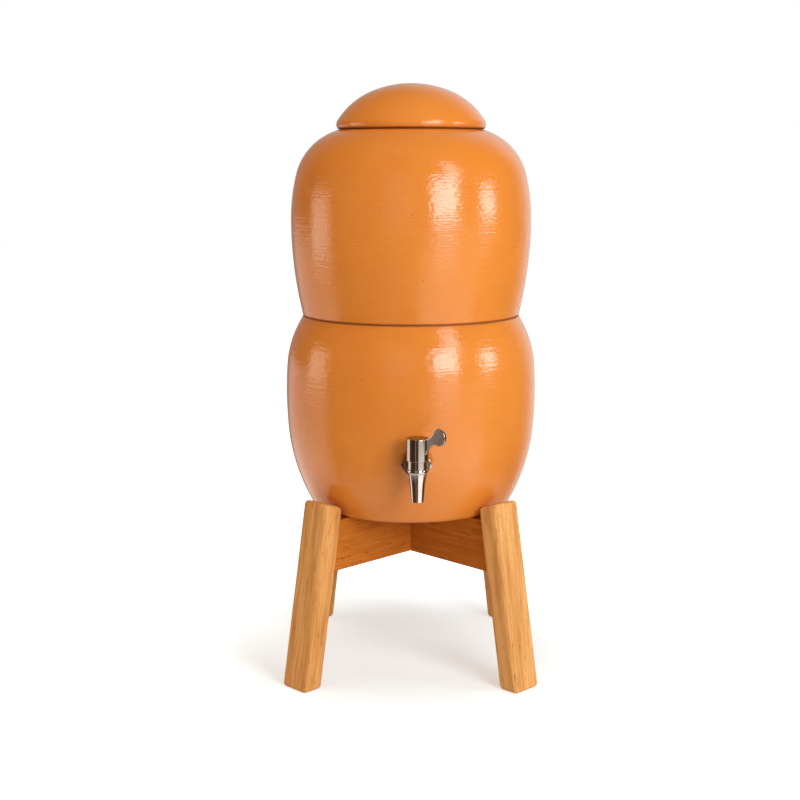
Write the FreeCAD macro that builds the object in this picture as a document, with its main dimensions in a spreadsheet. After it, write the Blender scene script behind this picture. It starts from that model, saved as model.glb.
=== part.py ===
import FreeCAD, Part
import math
import os
import Sketcher

# Clay water filter: two stacked clay pots with a lid and a tap, on a four-legged wooden stand.
# Water poured into the upper pot seeps through a ceramic candle into the lower pot, and the tap
# draws it off. Millimetres. +Z is up, the tap is at the front (-Y) and the floor is Z = 0.

sizes = {
    # stand: four splayed legs on the diagonals, and two boards that cross between them
    "seat_height": 171.0,
    "leg_above_seat": 21.2,
    "leg_top_slope": 7.4,
    "leg_pot_clearance": 2.16,
    "leg_splay": 9.65,
    "leg_width": 35.5,
    "leg_depth": 24.3,
    "leg_round": 3.0,
    "rail_height": 53.0,
    "rail_thickness": 24.0,
    "rail_round": 1.2,
    "lap_clearance": 0.2,
    "dowel_diameter": 8.0,
    "dowel_spacing": 27.0,
    "dowel_in_leg": 13.0,
    "dowel_in_rail": 22.0,
    "dowel_clearance": 0.05,
    "dowel_end_gap": 1.0,
    "dowel_chamfer": 0.8,
    # lower pot
    "pot_wall": 9.0,
    "pot_floor": 12.0,
    "pot_edge_round": 1.5,
    "lower_height": 202.8,
    "lower_belly_radius": 132.5,
    "lower_belly_rise": 119.5,
    "lower_base_inset": 27.9,
    "lower_foot_curve": 440.0,
    "lower_foot_drop": 36.3,
    "lower_shoulder_curve": 436.0,
    "lower_shoulder_climb": 30.4,
    "lower_mouth_inset": 19.5,
    "lower_lip": 9.0,
    "lower_base_round": 10.0,
    "lower_inside_round": 9.0,
    # upper pot
    "upper_height": 191.5,
    "upper_base_overhang": 1.3,
    "upper_belly_swell": 11.5,
    "upper_belly_rise": 98.2,
    "upper_foot_curve": 440.0,
    "upper_foot_drop": 30.0,
    "upper_shoulder_curve": 193.4,
    "upper_shoulder_climb": 47.4,
    "upper_mouth_inset": 53.8,
    "upper_lip": 8.0,
    "upper_inside_round": 3.0,
    "spigot_depth": 8.0,
    "spigot_clearance": 1.6,
    # lid
    "lid_rise": 46.8,
    "lid_overhang": 3.6,
    "lid_rim_round": 6.6,
    "lid_rim_rise": 4.9,
    "lid_crown": 107.5,
    "lid_crown_reach": 40.8,
    "lid_wall": 8.0,
    "lid_gallery_rise": 7.5,
    "lid_ring_depth": 8.0,
    "lid_ring_wall": 5.0,
    "lid_ring_clearance": 1.6,
    # filter candle
    "candle_diameter": 52.0,
    "candle_height": 92.0,
    "candle_wall": 8.0,
    "candle_fit": 0.3,
    "cup_wall": 2.5,
    "cup_floor": 5.0,
    "cup_depth": 9.0,
    "cup_chamfer": 1.0,
    "stem_diameter": 12.0,
    "stem_bore": 5.0,
    "stem_below_nut": 11.0,
    "stem_clearance": 0.5,
    "thread_clearance": 0.05,
    "gasket_diameter": 34.0,
    "gasket_thickness": 3.0,
    "slip_washer_diameter": 28.0,
    "slip_washer_thickness": 2.0,
    "wing_hub_diameter": 21.0,
    "wing_hub_height": 8.0,
    "wing_span": 44.0,
    "wing_height": 15.0,
    "wing_width": 7.0,
    "wing_thickness": 3.0,
    "wing_root_inset": 1.0,
    "wing_tip_round": 3.85,
    # tap
    "tap_rise": 67.4,
    "tap_yaw": 2.5,
    "tap_seat_press": 1.14,
    "tap_seat_diameter": 30.0,
    "shank_diameter": 16.0,
    "shank_bore": 6.0,
    "shank_hole_clearance": 0.5,
    "shank_beyond_nut": 4.0,
    "shank_chamfer": 1.5,
    "tap_washer_diameter": 26.0,
    "tap_washer_thickness": 3.0,
    "washer_clearance": 0.3,
    "flange_flats": 26.8,
    "flange_thickness": 5.0,
    "neck_diameter": 14.0,
    "neck_length": 16.0,
    "lock_nut_flats": 24.0,
    "lock_nut_thickness": 6.0,
    "outlet_radius": 6.2,
    "outlet_drop": 32.4,
    "outlet_bore": 8.4,
    "spout_waist_radius": 6.9,
    "spout_waist_drop": 19.0,
    "spout_flare": 42.0,
    "barrel_radius": 9.7,
    "barrel_drop": 3.6,
    "bead_height": 4.0,
    "bead_round": 3.2,
    "collar_top": 8.4,
    "boss_radius": 8.2,
    "boss_height": 5.6,
    "plug_diameter": 12.0,
    "plug_drop": 8.1,
    "plug_rise": 7.3,
    "plug_clearance": 0.05,
    "plug_stem_radius": 4.0,
    "drive_square": 5.4,
    "drive_height": 9.0,
    "drive_clearance": 0.05,
    "drive_end_gap": 0.5,
    "seal_section": 1.8,
    "seal_clearance": 0.05,
    "seal_offset": 5.2,
    "bonnet_thread_diameter": 14.0,
    "bonnet_thread_length": 6.4,
    "bonnet_flats": 14.0,
    "bonnet_height": 2.5,
    "cap_radius": 11.0,
    "cap_height": 21.9,
    "cap_gap": 0.3,
    "cap_side_gap": 0.3,
    "cap_headroom": 0.7,
    "cap_round": 0.6,
    "stop_width": 3.0,
    "stop_height": 2.6,
    "stop_radius": 9.3,
    "stop_root_depth": 0.4,
    "stop_recess_radius": 9.8,
    "stop_clearance": 0.05,
    "lever_angle": 45.0,
    "lever_reach": 35.8,
    "lever_thickness": 3.0,
    "paddle_diameter": 17.0,
    "paddle_rise": 34.9,
    "paddle_lower_angle": 238.0,
    "paddle_upper_angle": 118.0,
    "lever_root_rise": 12.2,
    "lever_root_radius": 9.6,
    "lever_lower_curve": 26.0,
    "lever_upper_curve": 17.0,
}

doc = FreeCAD.newDocument("ClayWaterFilter")
sheet = doc.addObject("Spreadsheet::Sheet", "Size")
for row, (name, number) in enumerate(sizes.items(), start=1):
    sheet.set(f"A{row}", name.replace("_", " "))
    sheet.set(f"B{row}", str(number))
    sheet.setAlias(f"B{row}", name)
doc.recompute()

up = FreeCAD.Vector(0, 0, 1)
nodes = []
layout = doc.addObject("App::VarSet", "Layout")


def derive(name, expression):
    # a size that follows from the sheet's, kept in the document under its own name
    layout.addProperty("App::PropertyFloat", name, "Layout")
    layout.setExpression(name, expression)
    return f"Layout.{name}"


def value(expression):
    result = sheet.evalExpression(expression)
    return getattr(result, "Value", result)


# ---- heights and radii that follow from the sheet ----

rail_top = "Size.seat_height"
rail_bottom = derive("rail_bottom", "Size.seat_height - Size.rail_height")
rail_middle = derive("rail_middle", "Size.seat_height - Size.rail_height / 2")
leg_top = derive("leg_top", "Size.seat_height + Size.leg_above_seat")
leg_top_inside = derive("leg_top_inside", f"{leg_top} - Size.leg_top_slope")
pot_seam = derive("pot_seam", "Size.seat_height + Size.lower_height")
spigot_bottom = derive("spigot_bottom", f"{pot_seam} - Size.spigot_depth")
upper_floor = derive("upper_floor", f"{spigot_bottom} + Size.pot_floor")
lid_seam = derive("lid_seam", f"{pot_seam} + Size.upper_height")
tap_height = derive("tap_height", "Size.seat_height + Size.tap_rise")

lower_base = derive("lower_base", "Size.lower_belly_radius - Size.lower_base_inset")
lower_mouth = derive("lower_mouth", "Size.lower_belly_radius - Size.lower_mouth_inset")
lower_opening = derive("lower_opening", f"{lower_mouth} - Size.lower_lip")
spigot_radius = derive("spigot_radius", f"{lower_opening} - Size.spigot_clearance")
upper_base = derive("upper_base", f"{lower_mouth} + Size.upper_base_overhang")
upper_belly = derive("upper_belly", f"{upper_base} + Size.upper_belly_swell")
upper_mouth = derive("upper_mouth", f"{upper_belly} - Size.upper_mouth_inset")
upper_opening = derive("upper_opening", f"{upper_mouth} - Size.upper_lip")
lid_edge = derive("lid_edge", f"{upper_mouth} + Size.lid_overhang")

# The lower pot's foot is one round stretch, from where the belly's curve ends to the base. Its
# centre gives the pot's radius at the legs' tops and at the tap.
foot_sine = derive("foot_sine", "Size.lower_foot_drop / Size.lower_foot_curve")
foot_cosine = derive("foot_cosine", f"sqrt(1 - {foot_sine} ^ 2)")
foot_out = derive("foot_out", f"Size.lower_base_inset - Size.lower_foot_curve * (1 - {foot_cosine})")
foot_up = derive("foot_up", "Size.lower_belly_rise - Size.lower_foot_drop")
foot_round = derive("foot_round", f"({foot_out} ^ 2 + {foot_up} ^ 2) / 2"
                                  f" / ({foot_out} * {foot_cosine} - {foot_up} * {foot_sine})")
foot_centre_out = derive("foot_centre_out", f"{lower_base} + {foot_out} - {foot_round} * {foot_cosine}")
foot_centre_up = derive("foot_centre_up", f"Size.seat_height + {foot_up} + {foot_round} * {foot_sine}")


def pot_side(height):
    return f"({foot_centre_out} + sqrt({foot_round} ^ 2 - ({height} - {foot_centre_up}) ^ 2))"


leg_start = derive("leg_start", f"{pot_side(leg_top_inside)} + Size.leg_pot_clearance")


def leg_inside(height):
    # how far the leg's inner face is from the stand's axis
    return f"({leg_start} + ({leg_top_inside} - {height}) * tan(Size.leg_splay * 1deg))"


def leg_reach(height):
    return f"({leg_inside(height)} + Size.leg_depth)"


tap_seat = derive("tap_seat", f"{pot_side(tap_height)} - Size.tap_seat_press")
tap_inner_seat = derive("tap_inner_seat", f"{tap_seat} - Size.pot_wall")
tap_reach = derive("tap_reach", f"{tap_seat} + Size.tap_washer_thickness + Size.flange_thickness"
                                " + Size.neck_length")
bonnet_seat = derive("bonnet_seat", "Size.collar_top + Size.boss_height")
cap_bottom = derive("cap_bottom", "Size.collar_top + Size.cap_gap")
cap_ceiling = derive("cap_ceiling", f"{bonnet_seat} + Size.bonnet_height + Size.cap_headroom")
cap_top = derive("cap_top", f"{cap_bottom} + Size.cap_height")
cap_inside = derive("cap_inside", "Size.boss_radius + Size.cap_side_gap")

# The origin is under the middle of the whole object, so the pots' axis lies behind it.
lever_turn = "((Size.lever_angle + Size.tap_yaw) * 1deg)"
front_reach = derive("front_reach", f"{tap_reach} * cos(Size.tap_yaw * 1deg) + Size.lever_reach"
                                    f" * cos{lever_turn} + Size.lever_thickness / 2 * sin{lever_turn}")
rear_reach = derive("rear_reach", f"({leg_reach('0')} + Size.leg_width / 2) * sqrt(0.5)")
axis_y = derive("axis_y", f"({front_reach} - {rear_reach}) / 2")
doc.recompute()


# ---- sketches and features ----

def new_body(name):
    body = doc.addObject("PartDesign::Body", name)
    body.Label = name
    nodes.append(body)
    return body


def origin_plane(body, role):
    return next(item for item in body.Origin.OriginFeatures if item.Role == role)


def sketch_on(body, name, plane, offset="0", turn=0.0):
    sketch = body.newObject("Sketcher::SketchObject", name)
    sketch.AttachmentSupport = [(origin_plane(body, plane), "")]
    sketch.MapMode = "FlatFace"
    sketch.AttachmentOffset = FreeCAD.Placement(FreeCAD.Vector(), FreeCAD.Rotation(up, turn))
    sketch.setExpression("AttachmentOffset.Base.z", offset)
    return sketch


def constrain(sketch, kind, *places, size):
    index = sketch.addConstraint(Sketcher.Constraint(kind, *places, value(size)))
    sketch.setExpression(f"Constraints[{index}]", size)


def pin(sketch, edge, end, x=None, y=None):
    # hold a point of an edge at the place that one or two sizes give
    for kind, size, axis in (("DistanceX", x, -2), ("DistanceY", y, -1)):
        if size == "0":
            sketch.addConstraint(Sketcher.Constraint("PointOnObject", edge, end, axis))
        elif size is not None:
            constrain(sketch, kind, edge, end, size=size)


def join(sketch, edge, end, other, start, kind="Coincident"):
    sketch.addConstraint(Sketcher.Constraint(kind, edge, end, other, start))


def add_line(sketch, start, end):
    return sketch.addGeometry(Part.LineSegment(start, end), False)


def add_arc(sketch, centre, start, end):
    # counterclockwise from start to end
    first = math.atan2(start.y - centre.y, start.x - centre.x)
    last = math.atan2(end.y - centre.y, end.x - centre.x)
    if last < first:
        last += 2 * math.pi
    round_line = Part.Circle(centre, up, (start - centre).Length)
    return sketch.addGeometry(Part.ArcOfCircle(round_line, first, last), False)


def circle(sketch, diameter, x="0", y="0"):
    centre = FreeCAD.Vector(value(x), value(y), 0)
    edge = sketch.addGeometry(Part.Circle(centre, up, value(diameter) / 2), False)
    pin(sketch, edge, 3, x, y)
    constrain(sketch, "Diameter", edge, size=diameter)


def outline(sketch, corners):
    # A closed chain of edges. Each corner is (x, y), or (x, y, side, radius) where the edge that
    # leaves it is an arc with its centre on that side of the way.
    points = [FreeCAD.Vector(value(corner[0]), value(corner[1]), 0) for corner in corners]
    edges = []
    for index, corner in enumerate(corners):
        start = points[index]
        end = points[(index + 1) % len(points)]
        if len(corner) == 2:
            edges.append((add_line(sketch, start, end), 1, 2))
            continue
        chord = end - start
        across = FreeCAD.Vector(-chord.y, chord.x, 0).normalize()
        depth = math.sqrt(value(corner[3]) ** 2 - chord.Length ** 2 / 4)
        if corner[2] == "left":
            edges.append((add_arc(sketch, start + chord / 2 + across * depth, start, end), 1, 2))
        else:
            edges.append((add_arc(sketch, start + chord / 2 - across * depth, end, start), 2, 1))
    for index, (edge, first, last) in enumerate(edges):
        following, start, _ = edges[(index + 1) % len(edges)]
        join(sketch, edge, last, following, start)
        pin(sketch, edge, first, *corners[index][:2])
        if len(corners[index]) > 2:
            constrain(sketch, "Radius", edge, size=corners[index][3])


def rectangle(sketch, width, depth):
    # centred on the sketch's origin
    half_width = f"({width}) / 2"
    half_depth = f"({depth}) / 2"
    outline(sketch, [(half_width, f"-{half_depth}"), (half_width, half_depth),
                     (f"-{half_width}", half_depth), (f"-{half_width}", f"-{half_depth}")])


def hexagon(sketch, flats):
    far = f"{flats} / sqrt(3)"
    near = f"{flats} / sqrt(12)"
    side = f"{flats} / 2"
    outline(sketch, [(far, "0"), (near, side), (f"-{near}", side),
                     (f"-{far}", "0"), (f"-{near}", f"-{side}"), (near, f"-{side}")])


def feature(body, kind, name, sketch, **settings):
    made = body.newObject(f"PartDesign::{kind}", name)
    made.Profile = sketch
    for key, setting in settings.items():
        if key == "Length":
            made.setExpression(key, setting)
        else:
            setattr(made, key, setting)
    if kind in ("Revolution", "Groove") and "ReferenceAxis" not in settings:
        made.ReferenceAxis = (sketch, ["V_Axis"])
    doc.recompute()
    return made


def edge_feature(body, kind, name, size, wanted):
    base = body.Tip
    edges = [f"Edge{index}" for index, edge in enumerate(base.Shape.Edges, start=1) if wanted(edge)]
    made = body.newObject(f"PartDesign::{kind}", name)
    made.Base = (base, edges)
    made.setExpression("Radius" if kind == "Fillet" else "Size", size)
    doc.recompute()
    return made


def is_ring(edge, radius, height):
    # a full circle of that radius round the Z axis, at that height
    if not isinstance(edge.Curve, Part.Circle) or abs(edge.BoundBox.ZMax - value(height)) > 0.01:
        return False
    return abs(edge.Curve.Radius - value(radius)) < 0.01 and edge.BoundBox.ZLength < 0.01


def place(body, x="0", y="0", z="0", turn=0.0):
    body.Placement = FreeCAD.Placement(FreeCAD.Vector(), FreeCAD.Rotation(up, turn))
    for axis, size in (("x", x), ("y", y), ("z", z)):
        body.setExpression(f"Placement.Base.{axis}", size)


def place_on_tap(body, turn=0.0):
    # the tap's own frame: its upright axis at the height of the inlet, -Y away from the pot
    yaw = "(Size.tap_yaw * 1deg)"
    place(body, f"{tap_reach} * sin{yaw}", f"{axis_y} - {tap_reach} * cos{yaw}", tap_height,
          value("Size.tap_yaw") + turn)


def on_circle(centre, point, height):
    # the point of the circle through point that lies at that height, to the right of its centre
    rise = height - centre.y
    return centre + FreeCAD.Vector(math.sqrt((point - centre).Length ** 2 - rise ** 2), rise, 0)


def beside_circle(centre, point, reach):
    # the point of the circle through point that lies at that reach, above its centre
    out = reach - centre.x
    return centre + FreeCAD.Vector(out, math.sqrt((point - centre).Length ** 2 - out ** 2), 0)


# ---- stand ----

def make_leg(name, turn):
    body = new_body(name)
    side = sketch_on(body, f"{name}_side", "XZ_Plane")
    outline(side, [(leg_inside("0"), "0"), (leg_reach("0"), "0"),
                   (leg_reach(leg_top), leg_top), (leg_inside(leg_top_inside), leg_top_inside)])
    feature(body, "Pad", f"{name}_block", side, SideType="Symmetric", Length="Size.leg_width")
    edge_feature(body, "Fillet", f"{name}_softened", "Size.leg_round",
                 lambda edge: edge.BoundBox.ZMax > value("Size.leg_round"))
    depth = f"{leg_inside(rail_middle)} + Size.dowel_in_leg"
    holes = sketch_on(body, f"{name}_dowel_holes", "YZ_Plane", depth)
    for offset in ("-", "+"):
        circle(holes, "Size.dowel_diameter", "0", f"{rail_middle} {offset} Size.dowel_spacing / 2")
    feature(body, "Pocket", f"{name}_drilled", holes, Type="ThroughAll")
    place(body, y=axis_y, turn=turn)


def make_rail(name, turn, notch_from, notch_to):
    body = new_body(name)
    board = sketch_on(body, f"{name}_side", "XZ_Plane")
    outline(board, [(f"-{leg_inside(rail_bottom)}", rail_bottom),
                    (leg_inside(rail_bottom), rail_bottom),
                    (leg_inside(rail_top), rail_top),
                    (f"-{leg_inside(rail_top)}", rail_top)])
    feature(body, "Pad", f"{name}_board", board, SideType="Symmetric", Length="Size.rail_thickness")
    edge_feature(body, "Fillet", f"{name}_softened", "Size.rail_round",
                 lambda edge: edge.BoundBox.XLength > value("Size.rail_height"))
    half = "(Size.rail_thickness + Size.lap_clearance) / 2"
    notch = sketch_on(body, f"{name}_notch", "XZ_Plane")
    outline(notch, [(f"-{half}", notch_from), (half, notch_from),
                    (half, notch_to), (f"-{half}", notch_to)])
    feature(body, "Pocket", f"{name}_lapped", notch, SideType="Symmetric",
            Length="Size.rail_thickness * 2")
    depth = f"{leg_inside(rail_middle)} - Size.dowel_in_rail"
    holes = sketch_on(body, f"{name}_dowel_holes", "YZ_Plane", depth)
    for offset in ("-", "+"):
        circle(holes, "Size.dowel_diameter", "0", f"{rail_middle} {offset} Size.dowel_spacing / 2")
    drilled = feature(body, "Pocket", f"{name}_drilled", holes, Type="ThroughAll", Reversed=True)
    mirrored = body.newObject("PartDesign::Mirrored", f"{name}_other_end")
    mirrored.Originals = [drilled]
    mirrored.MirrorPlane = (origin_plane(body, "YZ_Plane"), [""])
    body.Tip = mirrored
    place(body, y=axis_y, turn=turn)


def make_dowels(turns):
    pins = []
    radius = "Size.dowel_diameter / 2 - Size.dowel_clearance"
    length = "Size.dowel_in_leg + Size.dowel_in_rail - 2 * Size.dowel_end_gap"
    start = f"{leg_inside(rail_middle)} - Size.dowel_in_rail + Size.dowel_end_gap"
    for turn in turns:
        for offset in ("-", "+"):
            height = f"{rail_middle} {offset} Size.dowel_spacing / 2"
            rod = doc.addObject("Part::Cylinder", "dowel_rod")
            rod.setExpression("Radius", radius)
            rod.setExpression("Height", length)
            dowel = doc.addObject("Part::Chamfer", "dowel")
            dowel.Base = rod
            chamfer = value("Size.dowel_chamfer")
            doc.recompute()
            dowel.Edges = [(index, chamfer, chamfer)
                           for index, edge in enumerate(rod.Shape.Edges, start=1)
                           if isinstance(edge.Curve, Part.Circle)]
            lying = FreeCAD.Placement(FreeCAD.Vector(value(start), 0, value(height)),
                                      FreeCAD.Rotation(FreeCAD.Vector(0, 1, 0), 90))
            turned = FreeCAD.Placement(FreeCAD.Vector(), FreeCAD.Rotation(up, turn))
            dowel.Placement = turned.multiply(lying)
            pins.append(dowel)
    group = doc.addObject("Part::Compound", "leg_dowels")
    group.Label = "leg_dowels"
    group.Links = pins
    group.setExpression("Placement.Base.y", axis_y)
    nodes.append(group)


for name, turn in (("leg_rear_right", 45), ("leg_rear_left", 135),
                   ("leg_front_left", 225), ("leg_front_right", 315)):
    make_leg(name, turn)
above_rail = f"({rail_top} + Size.rail_round)"
below_rail = f"({rail_bottom} - Size.rail_round)"
make_rail("cross_rail_lower", 45, f"({rail_middle} - Size.lap_clearance / 2)", above_rail)
make_rail("cross_rail_upper", 135, below_rail, f"({rail_middle} + Size.lap_clearance / 2)")
make_dowels((45, 135, 225, 315))


# ---- pots ----

def touching_centre(point, centre, target):
    # the centre of the circle that runs on from point, turns about the same side and meets target
    inward = (centre - point).normalize()
    way = target - point
    return point + inward * (way.Length ** 2 / (2 * way.dot(inward)))


def pot_wall(body, name, pot, floor, bottom, top, radii):
    # Half the section of a thrown pot, in round stretches that run into each other: two below
    # the belly and two above it. The inside follows the outside at the wall's thickness.
    base_radius, belly_radius, mouth_radius, opening_radius = radii
    belly_height = f"{bottom} + Size.{pot}_belly_rise"
    foot_height = f"{belly_height} - Size.{pot}_foot_drop"
    shoulder_height = f"{belly_height} + Size.{pot}_shoulder_climb"
    wall = value("Size.pot_wall")
    base = FreeCAD.Vector(value(base_radius), value(bottom), 0)
    belly = FreeCAD.Vector(value(belly_radius), value(belly_height), 0)
    mouth = FreeCAD.Vector(value(mouth_radius), value(top), 0)
    foot = belly - FreeCAD.Vector(value(f"Size.{pot}_foot_curve"), 0, 0)
    shoulder = belly - FreeCAD.Vector(value(f"Size.{pot}_shoulder_curve"), 0, 0)
    foot_meet = on_circle(foot, belly, value(foot_height))
    shoulder_meet = on_circle(shoulder, belly, value(shoulder_height))
    centres = [touching_centre(foot_meet, foot, base), foot, shoulder,
               touching_centre(shoulder_meet, shoulder, mouth)]
    meets = [base, foot_meet, belly, shoulder_meet, mouth]
    inner = [point + (centre - point).normalize() * wall for point, centre in zip(
        meets, [centres[0], foot, foot, shoulder, centres[3]])]
    inner[0] = on_circle(centres[0], inner[0], value(floor))
    inner[4] = beside_circle(centres[3], inner[4], value(opening_radius))
    lip_inside = FreeCAD.Vector(inner[4].x, mouth.y, 0)
    axis_low = FreeCAD.Vector(0, base.y, 0)
    axis_high = FreeCAD.Vector(0, inner[0].y, 0)

    sketch = sketch_on(body, name, "XZ_Plane")
    under = add_line(sketch, axis_low, base)
    outside = [add_arc(sketch, centres[index], meets[index], meets[index + 1]) for index in range(4)]
    lip = add_line(sketch, mouth, lip_inside)
    throat = add_line(sketch, lip_inside, inner[4])
    inside = [add_arc(sketch, centres[index], inner[index], inner[index + 1]) for index in range(4)]
    inside_floor = add_line(sketch, inner[0], axis_high)
    middle = add_line(sketch, axis_high, axis_low)
    for first, start, second, end in ((under, 2, outside[0], 1), (outside[3], 2, lip, 1),
                                      (lip, 2, throat, 1), (throat, 2, inside[3], 2),
                                      (inside[0], 1, inside_floor, 1),
                                      (inside_floor, 2, middle, 1), (middle, 2, under, 1)):
        join(sketch, first, start, second, end)
    for index in range(3):
        join(sketch, outside[index], 2, outside[index + 1], 1, "Tangent")
        join(sketch, inside[index], 2, inside[index + 1], 1, "Tangent")
    for outer, inner_arc in zip(outside, inside):
        join(sketch, outer, 3, inner_arc, 3)
    constrain(sketch, "Radius", outside[1], size=f"Size.{pot}_foot_curve")
    constrain(sketch, "Radius", outside[2], size=f"Size.{pot}_shoulder_curve")
    constrain(sketch, "Radius", inside[1], size=f"Size.{pot}_foot_curve - Size.pot_wall")
    join(sketch, outside[2], 3, outside[1], 2, "Horizontal")
    pin(sketch, outside[0], 1, base_radius, bottom)
    pin(sketch, outside[0], 2, y=foot_height)
    pin(sketch, outside[1], 2, belly_radius, belly_height)
    pin(sketch, outside[2], 2, y=shoulder_height)
    pin(sketch, outside[3], 2, mouth_radius, top)
    pin(sketch, throat, 1, opening_radius)
    sketch.addConstraint(Sketcher.Constraint("Vertical", throat))
    for edge in (under, lip, inside_floor):
        sketch.addConstraint(Sketcher.Constraint("Horizontal", edge))
    pin(sketch, under, 1, x="0")
    pin(sketch, inside_floor, 2, "0", floor)
    feature(body, "Revolution", f"{name}_thrown", sketch)
    edge_feature(body, "Fillet", f"{name}_inside_corner", f"Size.{pot}_inside_round",
                 lambda edge: is_ring(edge, str(inner[0].x), floor))


def disc(body, name, kind, diameter, height, **settings):
    # a round pad or pocket on the Z axis, from a plane at that height
    sketch = sketch_on(body, f"{name}_sketch", "XY_Plane", height)
    circle(sketch, diameter)
    return feature(body, kind, name, sketch, **settings)


lower_pot = new_body("lower_pot")
pot_wall(lower_pot, "lower_section", "lower", "Size.seat_height + Size.pot_floor", "Size.seat_height",
         pot_seam, (lower_base, "Size.lower_belly_radius", lower_mouth, lower_opening))
edge_feature(lower_pot, "Fillet", "lower_base_edge", "Size.lower_base_round",
             lambda edge: is_ring(edge, lower_base, "Size.seat_height"))
edge_feature(lower_pot, "Fillet", "lower_lip", "Size.pot_edge_round",
             lambda edge: is_ring(edge, lower_mouth, pot_seam))

# a flat seat for the tap, pressed into both sides of the wall, with the hole for its shank
seat_disc = sketch_on(lower_pot, "tap_seat_disc", "XZ_Plane", tap_inner_seat)
circle(seat_disc, "Size.tap_seat_diameter", "0", tap_height)
feature(lower_pot, "Pad", "tap_seat", seat_disc, Length="Size.pot_wall")
seat_outside = sketch_on(lower_pot, "tap_seat_outside", "XZ_Plane", tap_seat)
circle(seat_outside, "Size.tap_seat_diameter", "0", tap_height)
feature(lower_pot, "Pocket", "tap_seat_outer_flat", seat_outside, Length="Size.pot_wall", Reversed=True)
seat_inside = sketch_on(lower_pot, "tap_seat_inside", "XZ_Plane", tap_inner_seat)
circle(seat_inside, "Size.tap_seat_diameter", "0", tap_height)
feature(lower_pot, "Pocket", "tap_seat_inner_flat", seat_inside, Length="Size.pot_wall")
shank_hole = sketch_on(lower_pot, "shank_hole_circle", "XZ_Plane", f"{tap_seat} + Size.pot_wall")
circle(shank_hole, "Size.shank_diameter + 2 * Size.shank_hole_clearance", "0", tap_height)
feature(lower_pot, "Pocket", "shank_hole", shank_hole, Length="Size.pot_wall * 4")
place(lower_pot, y=axis_y, turn=value("Size.tap_yaw"))

upper_pot = new_body("upper_pot")
pot_wall(upper_pot, "upper_section", "upper", upper_floor, pot_seam, lid_seam,
         (upper_base, upper_belly, upper_mouth, upper_opening))
edge_feature(upper_pot, "Fillet", "upper_base_edge", "Size.pot_edge_round",
             lambda edge: is_ring(edge, upper_base, pot_seam))
disc(upper_pot, "spigot", "Pad", f"2 * {spigot_radius}", spigot_bottom, Length="Size.spigot_depth")
disc(upper_pot, "candle_hole", "Pocket", "Size.stem_diameter + 2 * Size.stem_clearance",
     upper_floor, Type="ThroughAll")
edge_feature(upper_pot, "Fillet", "spigot_edge", "Size.pot_edge_round",
             lambda edge: is_ring(edge, spigot_radius, spigot_bottom))
place(upper_pot, y=axis_y)

# ---- lid ----

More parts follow.
